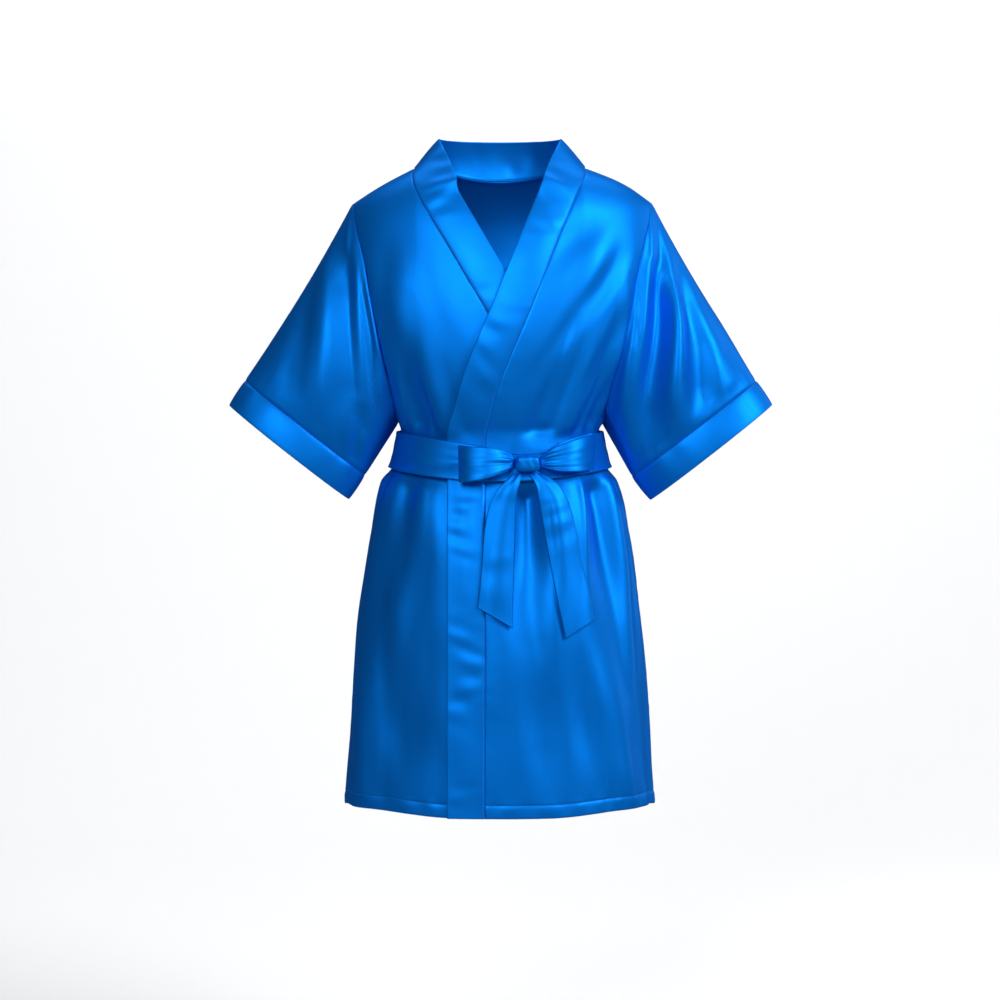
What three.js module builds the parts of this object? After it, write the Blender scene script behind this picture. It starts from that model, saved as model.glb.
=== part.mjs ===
import * as THREE from "three";

// A short satin robe, filled out as on its wearer: two fronts that cross, a back, two wide sleeves with cuffs, one
// long neckband down both fronts, and a belt tied in a bow. Millimetres, +Z up, and the front faces -Y.
// Zero is on the shoulder line, midway between the two neck points.

const CLOTH = 1.6; // wall of a single cloth
const DOUBLED = 2.2; // wall of the neckband, the cuffs and the belt, which are folded double
const SEAM_BACK = 0.25; // how far each piece stays back from the line that it shares
const SQUARE = 2.2; // 2 is an oval section, more is squarer
const BAND_WIDE = 46.5;
const BELT_TALL = 49;
const OVER_OUT = 3.5; // how far the upper front stands out where the fronts cross
const UNDER_IN = 2.5; // how far the lower front lies in there
const BELT_OUT = 5.7; // how far the belt stands off the body line
const RAD = Math.PI / 180;

// Heights down the body. half is half its width, front and back its depths each way, over and under how far
// across the band's seam lies on each front, and arm how far out the armhole does.
const LEVELS = [
  { z: 0, half: 189, front: 0, back: 0, over: 110, under: 110, arm: 189 },
  { z: -4, half: 190, front: 26, back: 29, over: 110, under: 111, arm: 188.3 },
  { z: -15, half: 191, front: 50, back: 56, over: 108.5, under: 111.5, arm: 187.2 },
  { z: -35, half: 192, front: 70, back: 77, over: 99.6, under: 106, arm: 184.8 },
  { z: -65, half: 193, front: 85, back: 91, over: 87.5, under: 89.8, arm: 179.7 },
  { z: -105, half: 193, front: 96, back: 98, over: 71.2, under: 66.2, arm: 172 },
  { z: -150, half: 191, front: 104, back: 99, over: 52.9, under: 39.7, arm: 164.7 },
  { z: -195, half: 184, front: 108, back: 98, over: 34.6, under: 13.3, arm: 156.7 },
  { z: -240, half: 172, front: 108, back: 95, over: 15.3, under: -4, arm: 148.6 },
  { z: -280, half: 156, front: 104, back: 91, over: -0.6, under: -13, arm: 142 },
  { z: -310, half: 141, front: 99, back: 87, over: -9, under: -17, arm: 135.5 },
  { z: -328, half: 132, front: 95, back: 84, over: -13.5, under: -19, arm: 132 },
  { z: -341, half: 128, front: 92, back: 82, over: -17, under: -20, arm: 128 },
  { z: -362, half: 131, front: 92, back: 82, over: -19, under: -20, arm: 131 },
  { z: -384, half: 137, front: 95, back: 86, over: -19, under: -20, arm: 137 },
  { z: -398, half: 146, front: 101, back: 92, over: -19, under: -20, arm: 146 },
  { z: -414, half: 153, front: 106, back: 98, over: -19, under: -20, arm: 153 },
  { z: -440, half: 161, front: 113, back: 105, over: -19, under: -20, arm: 161 },
  { z: -480, half: 169, front: 119, back: 112, over: -19, under: -20, arm: 169 },
  { z: -530, half: 177, front: 124, back: 118, over: -19, under: -20, arm: 177 },
  { z: -585, half: 184, front: 128, back: 123, over: -19, under: -20, arm: 184 },
  { z: -647, half: 190, front: 131, back: 127, over: -19, under: -20, arm: 190 },
  { z: -710, half: 194, front: 134, back: 130, over: -19, under: -20, arm: 194 },
  { z: -772, half: 198, front: 137, back: 132, over: -19, under: -20, arm: 198 },
  { z: -812, half: 201, front: 138.5, back: 133.5, over: -19, under: -20, arm: 201 },
  { z: -828, half: 202, front: 139, back: 134, over: -19, under: -20, arm: 202 },
];
const HEM = LEVELS.length - 1;
const UNDERARM = 11;

// Folds of the body. Each runs from a turn round the body at its top to one at its foot, in degrees, with 0 at the
// front and the viewer's right positive. deep is out when positive. head and foot are the shares that fade.
const FOLDS = [
  { z0: -285, a0: -57, z1: -362, a1: -76, bend: 0, wide: 18, deep: 5, head: 0.5, foot: 0.05 },
  { z0: -205, a0: -40, z1: -362, a1: -52, bend: -1, wide: 26, deep: -8, head: 0.6, foot: 0.05 },
  { z0: -200, a0: -33, z1: -362, a1: -29, bend: -2, wide: 24, deep: 6, head: 0.7, foot: 0.05 },
  { z0: -90, a0: -50, z1: -270, a1: -34, bend: 2, wide: 44, deep: 4, head: 0.4, foot: 0.5 },
  { z0: -120, a0: 53, z1: -310, a1: 55, bend: 0, wide: 18, deep: 4, head: 0.3, foot: 0.3 },
  { z0: -225, a0: 50, z1: -362, a1: 63, bend: 0, wide: 22, deep: -7, head: 0.6, foot: 0.05 },
  { z0: -230, a0: 43, z1: -362, a1: 38, bend: 0, wide: 22, deep: 6, head: 0.6, foot: 0.05 },
  { z0: -180, a0: 34, z1: -362, a1: 20, bend: 1, wide: 26, deep: -7, head: 0.7, foot: 0.05 },
  { z0: -45, a0: 38, z1: -175, a1: 12, bend: 0, wide: 30, deep: -5, head: 0.4, foot: 0.6 },
  { z0: -300, a0: 75, z1: -362, a1: 80, bend: 0, wide: 14, deep: 4, head: 0.6, foot: 0.05 },
  { z0: -290, a0: -66, z1: -362, a1: -66, bend: 0, wide: 14, deep: -4, head: 0.7, foot: 0.05 },
  { z0: -372, a0: -84, z1: -480, a1: -83, bend: 0, wide: 15, deep: 5, head: 0.05, foot: 0.9 },
  { z0: -372, a0: -76, z1: -470, a1: -76, bend: 0, wide: 13, deep: -5, head: 0.05, foot: 0.9 },
  { z0: -372, a0: -68, z1: -490, a1: -66, bend: 0, wide: 14, deep: 4, head: 0.05, foot: 0.9 },
  { z0: -372, a0: -58, z1: -540, a1: -58, bend: 1, wide: 18, deep: 4, head: 0.05, foot: 0.9 },
  { z0: -372, a0: -49, z1: -590, a1: -49, bend: 2, wide: 24, deep: -9, head: 0.05, foot: 0.7 },
  { z0: -372, a0: -41, z1: -650, a1: -25, bend: -2, wide: 28, deep: 7, head: 0.05, foot: 0.8 },
  { z0: -372, a0: 14, z1: -720, a1: 11, bend: -4, wide: 26, deep: -9, head: 0.05, foot: 0.6 },
  { z0: -372, a0: 25, z1: -600, a1: 27, bend: 0, wide: 22, deep: 5, head: 0.05, foot: 0.8 },
  { z0: -372, a0: 34, z1: -480, a1: 33, bend: 0, wide: 14, deep: -5, head: 0.05, foot: 0.8 },
  { z0: -372, a0: 43, z1: -500, a1: 38, bend: 0, wide: 14, deep: 6, head: 0.05, foot: 0.7 },
  { z0: -372, a0: 53, z1: -600, a1: 55, bend: -4, wide: 24, deep: -9, head: 0.05, foot: 0.7 },
  { z0: -372, a0: 65, z1: -620, a1: 62, bend: 0, wide: 20, deep: 5, head: 0.05, foot: 0.8 },
  { z0: -372, a0: 76, z1: -500, a1: 74, bend: 0, wide: 16, deep: -5, head: 0.05, foot: 0.8 },
  { z0: -560, a0: -46, z1: -810, a1: -37, bend: 0, wide: 40, deep: -7, head: 0.4, foot: 0.4 },
  { z0: -560, a0: -65, z1: -900, a1: -57, bend: 0, wide: 44, deep: 6, head: 0.4, foot: 0.3 },
  { z0: -540, a0: 2, z1: -730, a1: 2, bend: 0, wide: 30, deep: 5, head: 0.5, foot: 0.5 },
  { z0: -620, a0: 14, z1: -820, a1: 18, bend: 0, wide: 34, deep: -6, head: 0.5, foot: 0.4 },
  { z0: -520, a0: 37, z1: -880, a1: 58, bend: -4, wide: 44, deep: 7, head: 0.5, foot: 0.3 },
  { z0: -600, a0: 74, z1: -900, a1: 80, bend: 0, wide: 40, deep: -6, head: 0.5, foot: 0.3 },
  { z0: -110, a0: 150, z1: -362, a1: 164, bend: 2, wide: 40, deep: -5, head: 0.5, foot: 0.05 },
  { z0: -130, a0: -148, z1: -362, a1: -160, bend: -2, wide: 40, deep: -6, head: 0.5, foot: 0.05 },
  { z0: -160, a0: 180, z1: -362, a1: 177, bend: 0, wide: 34, deep: 5, head: 0.6, foot: 0.05 },
  { z0: -230, a0: 132, z1: -362, a1: 140, bend: 0, wide: 26, deep: 6, head: 0.6, foot: 0.05 },
  { z0: -240, a0: -130, z1: -362, a1: -137, bend: 0, wide: 26, deep: 5, head: 0.6, foot: 0.05 },
  { z0: -270, a0: 112, z1: -362, a1: 118, bend: 0, wide: 18, deep: -5, head: 0.6, foot: 0.05 },
  { z0: -280, a0: -108, z1: -362, a1: -114, bend: 0, wide: 18, deep: -4, head: 0.6, foot: 0.05 },
  { z0: -372, a0: 98, z1: -500, a1: 99, bend: 0, wide: 16, deep: 5, head: 0.05, foot: 0.8 },
  { z0: -372, a0: 110, z1: -580, a1: 109, bend: 2, wide: 22, deep: -7, head: 0.05, foot: 0.7 },
  { z0: -372, a0: 124, z1: -680, a1: 122, bend: 0, wide: 30, deep: 7, head: 0.05, foot: 0.8 },
  { z0: -372, a0: 139, z1: -620, a1: 140, bend: -2, wide: 26, deep: -8, head: 0.05, foot: 0.7 },
  { z0: -372, a0: 153, z1: -540, a1: 152, bend: 0, wide: 22, deep: 5, head: 0.05, foot: 0.8 },
  { z0: -372, a0: 165, z1: -700, a1: 168, bend: 0, wide: 26, deep: -8, head: 0.05, foot: 0.6 },
  { z0: -372, a0: 179, z1: -600, a1: -178, bend: 0, wide: 26, deep: 6, head: 0.05, foot: 0.8 },
  { z0: -372, a0: -167, z1: -560, a1: -168, bend: 0, wide: 22, deep: -6, head: 0.05, foot: 0.7 },
  { z0: -372, a0: -154, z1: -660, a1: -157, bend: 2, wide: 28, deep: 6, head: 0.05, foot: 0.8 },
  { z0: -372, a0: -140, z1: -640, a1: -138, bend: 0, wide: 26, deep: -8, head: 0.05, foot: 0.7 },
  { z0: -372, a0: -125, z1: -560, a1: -124, bend: 0, wide: 24, deep: 6, head: 0.05, foot: 0.8 },
  { z0: -372, a0: -111, z1: -620, a1: -112, bend: 0, wide: 22, deep: -6, head: 0.05, foot: 0.7 },
  { z0: -372, a0: -98, z1: -500, a1: -98, bend: 0, wide: 16, deep: 4, head: 0.05, foot: 0.8 },
  { z0: -560, a0: 146, z1: -900, a1: 150, bend: 0, wide: 44, deep: 6, head: 0.5, foot: 0.3 },
  { z0: -600, a0: -170, z1: -900, a1: -174, bend: 0, wide: 46, deep: -6, head: 0.5, foot: 0.3 },
  { z0: -560, a0: -120, z1: -900, a1: -116, bend: 0, wide: 46, deep: 6, head: 0.5, foot: 0.3 },
];

// Folds of a sleeve: turn runs from the shoulder line (0) over the front (90) to the underside (180) and the back,
// and along runs from the armhole (0) to the cuff (1). pull is the turn at mid fold beyond the straight line.
const SLEEVE_FOLDS = {
  left: [
    { a0: 48, v0: 0.0, a1: 96, v1: 0.1, a2: 150, v2: 0.36, wide: 34, deep: -13 },
    { a0: 20, v0: 0.2, a1: 78, v1: 0.38, a2: 152, v2: 0.84, wide: 34, deep: 8 },
    { a0: 30, v0: 0.5, a1: 70, v1: 0.62, a2: 110, v2: 0.95, wide: 40, deep: -5 },
    { a0: 320, v0: 0.1, a1: 262, v1: 0.2, a2: 214, v2: 0.5, wide: 38, deep: -10 },
    { a0: 330, v0: 0.4, a1: 280, v1: 0.55, a2: 225, v2: 0.9, wide: 40, deep: 7 },
  ],
  right: [
    { a0: 70, v0: 0.0, a1: 88, v1: 0.06, a2: 112, v2: 0.14, wide: 14, deep: 5 },
    { a0: 28, v0: 0.16, a1: 78, v1: 0.33, a2: 136, v2: 0.62, wide: 32, deep: -12 },
    { a0: 24, v0: 0.06, a1: 66, v1: 0.14, a2: 110, v2: 0.3, wide: 24, deep: 5 },
    { a0: 30, v0: 0.26, a1: 70, v1: 0.5, a2: 108, v2: 0.8, wide: 24, deep: 7 },
    { a0: 30, v0: 0.5, a1: 58, v1: 0.72, a2: 90, v2: 0.96, wide: 26, deep: -6 },
    { a0: 318, v0: 0.12, a1: 268, v1: 0.24, a2: 210, v2: 0.56, wide: 38, deep: -11 },
    { a0: 332, v0: 0.42, a1: 285, v1: 0.58, a2: 240, v2: 0.92, wide: 36, deep: 6 },
  ],
};
const SLEEVE_ROWS = [0, 0.07, 0.15, 0.24, 0.33, 0.42, 0.52, 0.63, 0.75, 0.88, 1];

// The two ends of each cuff: its top and underside, and half its depth.
const CUFF_SEAM = {
  right: { topX: 330.5, topZ: -277.5, lowX: 172, lowZ: -400, deep: 44, y: -6 },
  left: { topX: 330, topZ: -276.5, lowX: 175.5, lowZ: -398.6, deep: 44, y: -6 },
};
const CUFF_END = {
  right: { topX: 352.5, topZ: -307.5, lowX: 195.5, lowZ: -430.5, deep: 46, y: -8 },
  left: { topX: 350.5, topZ: -308.2, lowX: 196.5, lowZ: -429.5, deep: 46, y: -8 },
};

// The band's free edge beside the neck, on the levels with the same number, and behind it.
const NECK_EDGE = [
  { x: 78, y: -6, z: 35.5 },
  { x: 71, y: -28, z: 20 },
  { x: 62, y: -47, z: 0 },
  { x: 55.5, y: -66, z: -18 },
];
const NECK_TURN = 34.4; // where the neck point lies on the shoulder line
const NECK_BACK = 2; // the level that the neckline reaches at the back

// Loops of the bow, out along the front and back behind. rise is out from the belt, tall the height there.
const LOOP_LEFT = [
  { x: 16.2, z: -381, rise: 11, tall: 17 },
  { x: 8, z: -381, rise: 17, tall: 28 },
  { x: -3, z: -381, rise: 23, tall: 35 },
  { x: -18, z: -382, rise: 26.5, tall: 42 },
  { x: -33, z: -383, rise: 24.5, tall: 46 },
  { x: -43, z: -383, rise: 18, tall: 48 },
  { x: -48, z: -383, rise: 9, tall: 49 },
  { x: -44, z: -383, rise: 4.2, tall: 48 },
  { x: -30, z: -383, rise: 3, tall: 44 },
  { x: -12, z: -382, rise: 3, tall: 38 },
  { x: 6, z: -381, rise: 3.4, tall: 26 },
  { x: 16.2, z: -381, rise: 5, tall: 15 },
];
const LOOP_RIGHT = [
  { x: 47.8, z: -381, rise: 11, tall: 15 },
  { x: 56, z: -378.5, rise: 17, tall: 27 },
  { x: 66, z: -376.5, rise: 22.5, tall: 36 },
  { x: 79, z: -373.8, rise: 26, tall: 43 },
  { x: 92, z: -371.4, rise: 24, tall: 48 },
  { x: 103, z: -369, rise: 17, tall: 49.5 },
  { x: 108, z: -368, rise: 9, tall: 50 },
  { x: 104, z: -369, rise: 4.2, tall: 49 },
  { x: 90, z: -372, rise: 3, tall: 46 },
  { x: 72, z: -375, rise: 3, tall: 38 },
  { x: 57, z: -379, rise: 3.4, tall: 25 },
  { x: 47.8, z: -381, rise: 5, tall: 14 },
];
const KNOT = { x: 32, z: -381, rise: 12.8, wide: 30.4, tall: 20, deep: 18.5 };

// The belt's two hanging ends: left and right edge down their length, and out from the skirt.
const TAIL_LEFT = [
  { x0: 18, z0: -398.5, x1: 28, z1: -398.5, rise: 8.3 },
  { x0: 6, z0: -408, x1: 24, z1: -409, rise: 9.45 },
  { x0: -4, z0: -420, x1: 20.5, z1: -422, rise: 8.6 },
  { x0: -13, z0: -436, x1: 19.5, z1: -438, rise: 5.8 },
  { x0: -19.5, z0: -466, x1: 18.8, z1: -468, rise: 4.2 },
  { x0: -22.5, z0: -505, x1: 17.6, z1: -507, rise: 4 },
  { x0: -25.5, z0: -540, x1: 16, z1: -560, rise: 4 },
  { x0: -28, z0: -562, x1: 15.2, z1: -588, rise: 4 },
];
const TAIL_RIGHT = [
  { x0: 36, z0: -398.5, x1: 50, z1: -398.5, rise: 8.3 },
  { x0: 43, z0: -411, x1: 67, z1: -409, rise: 9.5 },
  { x0: 47, z0: -427, x1: 78, z1: -425, rise: 8.6 },
  { x0: 51, z0: -446, x1: 85, z1: -440, rise: 5.8 },
  { x0: 56, z0: -475, x1: 92, z1: -468, rise: 4.2 },
  { x0: 63, z0: -515, x1: 99, z1: -506, rise: 4 },
  { x0: 71, z0: -560, x1: 109, z1: -546, rise: 4 },
  { x0: 79.5, z0: -602, x1: 115, z1: -579, rise: 4 },
];

const FRONT_COLS = 24;
const SHOULDER_COLS = 12; // columns of the back across one shoulder
const NECK_COLS = 16; // and across the neck
const BAND_COLS = 4;
const BELT_COLS = 44;

const SATIN = new THREE.MeshStandardMaterial({ color: 0x1173cf, roughness: 0.32, metalness: 0.1, side: 2 });
const vec = (x, y, z) => new THREE.Vector3(x, y, z);
const mix = (a, b, t) => a + (b - a) * t;
const ease = (t) => {
  const k = Math.min(1, Math.max(0, t));
  return k * k * (3 - 2 * k);
};
const bump = (t) => (Math.abs(t) < 1 ? 0.5 + 0.5 * Math.cos(Math.PI * t) : 0);

// A row of a table at a fraction of its length, by a smooth curve through the rows.
function between(table, where) {
  const last = table.length - 1;
  const first = Math.max(0, Math.min(Math.floor(where), last - 1));
  const f = where - first;
  const out = {};
  for (const key of Object.keys(table[first])) {
    const [a, b, c, d] = [-1, 0, 1, 2].map((k) => table[Math.max(0, Math.min(last, first + k))][key]);
    out[key] = b + 0.5 * f * (c - a + f * (2 * a - 5 * b + 4 * c - d + f * (3 * b - a - 3 * c + d)));
  }
  return out;
}

function levelOf(z) {
  let low = 0;
  let high = HEM;
  for (let i = 0; i < 24; i += 1) {
    const mid = (low + high) / 2;
    if (between(LEVELS, mid).z > z) low = mid;
    else high = mid;
  }
  return (low + high) / 2;
}

function turnOf(x, level) {
  const r = Math.min(1, Math.abs(x) / between(LEVELS, level).half);
  const turn = Math.atan2(r, Math.max(0, 1 - r ** SQUARE) ** (1 / SQUARE)) / RAD;
  return x < 0 ? -turn : turn;
}

// The shoulders fall away outside the neck, and this fall fades down the body.
function shoulderFall(x, z) {
  const out = Math.max(0, (Math.abs(x) - 106) / 83);
  return 48 * out ** 1.1 * Math.exp(z / 180);
}

function bare(turn, level) {
  const row = between(LEVELS, level);
  const s = Math.sin(turn * RAD);
  const c = Math.cos(turn * RAD);
  const k = (Math.abs(s) ** SQUARE + Math.abs(c) ** SQUARE) ** (-1 / SQUARE);
  const x = row.half * s * k;
  const deep = c > 0 ? -row.front : row.back;
  return vec(x, deep * Math.abs(c) * k, row.z - shoulderFall(x, row.z));
}

function outward(turn, level) {
  const step = 0.02;
  const top = Math.max(0.001, level - step);
  const low = Math.min(HEM, Math.max(0.001, level) + step);
  const across = bare(turn + 0.5, level).sub(bare(turn - 0.5, level));
  const down = bare(turn, low).sub(bare(turn, top));
  return down.cross(across).normalize();
}

const beltMid = (turn) => {
  const c = Math.cos(turn * RAD);
  return c > 0 ? -365 - 17 * c * c : -365 + 10 * c * c;
};

function foldAt(turn, z, girth) {
  let sum = 0;
  for (const fold of FOLDS) {
    const s = (z - fold.z0) / (fold.z1 - fold.z0);
    if (s <= 0 || s >= 1) continue;
    let swing = fold.a1 - fold.a0;
    if (swing < -180) swing += 360;
    const at = fold.a0 + swing * s + 4 * fold.bend * s * (1 - s);
    const off = ((((turn - at) % 360) + 540) % 360) - 180;
    const share = ease(s / fold.head) * ease((1 - s) / fold.foot);
    sum += fold.deep * share * bump((off * RAD * girth) / fold.wide);
  }
  const held = 1 - ease((Math.abs(z - beltMid(turn)) - 26) / 16);
  return sum * (1 - 0.8 * held);
}

// How far a front moves out or in where the two cross. side is 1 for the upper one, -1 for the lower, 0 for the back.
function layerAt(turn, z, side) {
  if (side === 0) return 0;
  const across = 1 - ease((turn * side - 35) / 40);
  const down = ease((-40 - z) / 90);
  return (side > 0 ? OVER_OUT : -UNDER_IN) * across * down;
}

function body(turn, level, side) {
  const row = between(LEVELS, level);
  const lift = foldAt(turn, row.z, (row.half + row.front) / 2) + layerAt(turn, row.z, side);
  return bare(turn, level).addScaledVector(outward(turn, level), lift);
}

// A grid of points with a normal at each, which seams then share.
function sheet(rows, cols, place, { round = false, flip = false } = {}) {
  const p = [];
  for (let i = 0; i <= rows; i += 1) {
    p.push([]);
    for (let j = 0; j < (round ? cols : cols + 1); j += 1) p[i].push(place(i, j));
  }
  const made = { p, n: [], round, flip, rows, cols };
  for (let i = 0; i <= rows; i += 1) {
    made.n.push(p[i].map((_, j) => normalAt(made, i, j)));
  }
  return made;
}

function normalAt(g, i, j) {
  const wide = g.p[i].length;
  const right = g.round ? (j + 1) % wide : Math.min(j + 1, wide - 1);
  const left = g.round ? (j + wide - 1) % wide : Math.max(j - 1, 0);
  const across = g.p[i][right].clone().sub(g.p[i][left]);
  const down = g.p[Math.min(i + 1, g.rows)][j].clone().sub(g.p[Math.max(i - 1, 0)][j]);
  return down.cross(across).multiplyScalar(g.flip ? -1 : 1).normalize();
}

const column = (j, from, to) => Array.from({ length: Math.abs(to - from) + 1 }, (_, k) => [
  from + (to > from ? k : -k), j]);
const line = (i, from, to) => column(i, from, to).map(([k]) => [i, k]);

// Two or more pieces that meet take the mean of their normals, so that their end walls lie in one plane.
function meet(...places) {
  const mean = vec(0, 0, 0);
  for (const [g, i, j] of places) mean.add(g.n[i][j].clone().normalize());
  mean.normalize();
  for (const [g, i, j] of places) {
    const lean = Math.max(0.72, mean.dot(g.n[i][j].clone().normalize()));
    g.n[i][j] = mean.clone().multiplyScalar(1 / lean);
  }
}
const join = (a, edgeA, b, edgeB) => edgeA.forEach(([i, j], k) => meet([a, i, j], [b, ...edgeB[k]]));

// Draws an edge in from the seam that it lies on, towards the neighbour row or column. Extra scales it by place.
function drawIn(g, edge, di, dj, extra = () => 1) {
  const wide = g.p[0].length;
  const moves = edge.map(([i, j], k) => {
    const before = edge[Math.max(0, k - 1)];
    const after = edge[Math.min(edge.length - 1, k + 1)];
    const along = g.p[after[0]][after[1]].clone().sub(g.p[before[0]][before[1]]);
    const inward = g.p[i + di][(j + dj + wide) % wide].clone().sub(g.p[i][j]);
    if (along.lengthSq() > 1e-9) {
      along.normalize();
      inward.addScaledVector(along, -inward.dot(along));
    }
    return inward.normalize().multiplyScalar(SEAM_BACK);
  });
  edge.forEach(([i, j], k) => g.p[i][j].addScaledVector(moves[k], extra(i, j)));
}

// The right shoulder is broader and a little higher than the left one, and the hem lifts towards the sides.
function settle(p) {
  const out = Math.abs(p.x);
  const right = p.x > 0;
  const wider = ease((out - 105) / 60) * (1 - ease((-p.z - 190) / 120));
  const higher = bump((out - 158) / 58) * Math.exp(Math.min(0, p.z) / 100);
  const hem = ease((out - 60) / 110) * ease((-p.z - 640) / 188) * (1.8 + 4.4 * ease(-p.y / 45));
  return p.add(vec((right ? 7.5 : -2) * wider, 0, (right ? 5 : 1) * higher + hem));
}

// The two walls of a sheet and the narrow faces round its free edges.
function cloth(name, g, wall) {
  const wide = g.p[0].length;
  const count = (g.rows + 1) * wide;
  const position = [];
  for (const sign of [0.5, -0.5]) {
    for (let i = 0; i <= g.rows; i += 1) {
      for (let j = 0; j < wide; j += 1) {
        const at = settle(g.p[i][j].clone().addScaledVector(g.n[i][j], sign * wall));
        position.push(at.x, at.y, at.z);
      }
    }
  }
  const index = [];
  const tri = (a, b, c) => (g.flip ? index.push(a, c, b) : index.push(a, b, c));
  const at = (i, j) => i * wide + (j % wide);
  const quad = (a, b, c, d) => {
    tri(a, b, c);
    tri(a, c, d);
  };
  const far = (a, b) => {
    const [u, w] = [a, b].map((k) => vec(...position.slice(3 * k, 3 * k + 3)));
    return u.distanceTo(w);
  };
  for (let i = 0; i < g.rows; i += 1) {
    for (let j = 0; j < g.cols; j += 1) {
      const [a, b, c, d] = [at(i, j), at(i + 1, j), at(i + 1, j + 1), at(i, j + 1)];
      const turned = far(b, d) < far(a, c);
      if (turned) quad(b, c, d, a);
      else quad(a, b, c, d);
      if (turned) quad(count + a, count + d, count + c, count + b);
      else quad(count + d, count + c, count + b, count + a);
    }
  }
  for (let j = 0; j < g.cols; j += 1) {
    const [a, b] = [at(0, j), at(0, j + 1)];
    quad(a, b, count + b, count + a);
    const [c, d] = [at(g.rows, j), at(g.rows, j + 1)];
    quad(d, c, count + c, count + d);
  }
  for (let i = 0; i < g.rows && !g.round; i += 1) {
    const [a, b] = [at(i, 0), at(i + 1, 0)];
    quad(b, a, count + a, count + b);
    const [c, d] = [at(i, g.cols), at(i + 1, g.cols)];
    quad(c, d, count + d, count + c);
  }
  return mesh(name, position, index);
}

function mesh(name, position, index) {
  const geometry = new THREE.BufferGeometry();
  geometry.setAttribute("position", new THREE.Float32BufferAttribute(position, 3));
  geometry.setIndex(index);
  geometry.computeVertexNormals();
  const made = new THREE.Mesh(geometry, SATIN);
  made.name = name;
  return made;
}

// The fronts: across from the band's seam to the armhole, and below that to the side seam.
const frontTurn = (side, level, share) => {
  const row = LEVELS[level];
  const inner = turnOf(side > 0 ? row.over : -row.under, level);
  const outer = side * (level < UNDERARM ? turnOf(row.arm, level) : 90);
  return mix(inner, outer, share);
};
const frontOver = sheet(HEM, FRONT_COLS, (i, j) => body(frontTurn(1, i, j / FRONT_COLS), i, 1));
const frontUnder = sheet(HEM, FRONT_COLS, (i, j) => body(frontTurn(-1, i, 1 - j / FRONT_COLS), i, -1));

// The back: across from the viewer's right to left, with the neckline cut into its top.
const BACK_COLS = 2 * SHOULDER_COLS + NECK_COLS;
function backTurn(j, level) {
  const edge = level < UNDERARM ? 180 - turnOf(between(LEVELS, level).arm, level) : 90;
  const even = mix(edge, 360 - edge, j / BACK_COLS);
  const stops = [90, 180 - NECK_TURN, 180 + NECK_TURN, 270];
  let top = mix(stops[2], stops[3], (j - SHOULDER_COLS - NECK_COLS) / SHOULDER_COLS);
  if (j < SHOULDER_COLS) top = mix(stops[0], stops[1], j / SHOULDER_COLS);
  else if (j < SHOULDER_COLS + NECK_COLS) top = mix(stops[1], stops[2], (j - SHOULDER_COLS) / NECK_COLS);
  return mix(top, even, ease(level / 6));
}
function backLevel(i, j) {
  const off = (j - BACK_COLS / 2) / (NECK_COLS / 2);
  const cut = Math.abs(off) < 1 ? NECK_BACK * (1 - off * off) : 0;
  return i < 6 ? i + cut * (1 - i / 6) ** 2 : i;
}
const back = sheet(HEM, BACK_COLS, (i, j) => {
  const level = backLevel(i, j);
  return body(i === 0 ? backTurn(j, 0) : backTurn(j, level), level, 0);
});

// Along the shoulder line the cloth faces straight up off the ridge.
function ridge(g, cols) {
  for (const j of cols) {
    const [a, b] = [Math.max(j - 1, cols[0]), Math.min(j + 1, cols[cols.length - 1])].map((k) => g.p[0][k]);
    const along = b.clone().sub(a).normalize();
    g.n[0][j] = vec(-along.z, 0, along.x).multiplyScalar(along.x > 0 ? 1 : -1);
  }
}
const count = (from, to) => Array.from({ length: to - from + 1 }, (_, k) => from + k);
ridge(frontOver, count(0, FRONT_COLS));
ridge(frontUnder, count(0, FRONT_COLS));
ridge(back, count(0, SHOULDER_COLS));
ridge(back, count(SHOULDER_COLS + NECK_COLS, BACK_COLS));

// A sleeve: from the armhole's edge to the oval of the cuff's seam. side is 1 on the viewer's right.
const HOLE = 2 * UNDERARM;
function cuffPoint(ovals, turn, side) {
  const oval = side > 0 ? ovals.right : ovals.left;
  const lean = (1 - Math.cos(turn * RAD)) / 2;
  const y = oval.y - oval.deep * Math.sin(turn * RAD);
  return vec(side * mix(oval.topX, oval.lowX, lean), y, mix(oval.topZ, oval.lowZ, lean));
}
function armhole(side) {
  const front = side > 0 ? frontOver : frontUnder;
  const frontCol = side > 0 ? FRONT_COLS : 0;
  const backCol = side > 0 ? 0 : BACK_COLS;
  const places = [];
  for (let k = 0; k < HOLE; k += 1) {
    if (k <= UNDERARM) places.push([front, k, frontCol]);
    else places.push([back, HOLE - k, backCol]);
  }
  const points = places.map(([g, i, j]) => g.p[i][j].clone());
  const turns = [0];
  for (const [from, to] of [[0, UNDERARM], [UNDERARM, HOLE]]) {
    const steps = count(from + 1, to).map((k) => points[k % HOLE].distanceTo(points[k - 1]));
    const whole = steps.reduce((a, b) => a + b, 0);
    steps.forEach((step) => turns.push(turns[turns.length - 1] + (180 * step) / whole));
  }
  return { places, points, turns };
}
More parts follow.
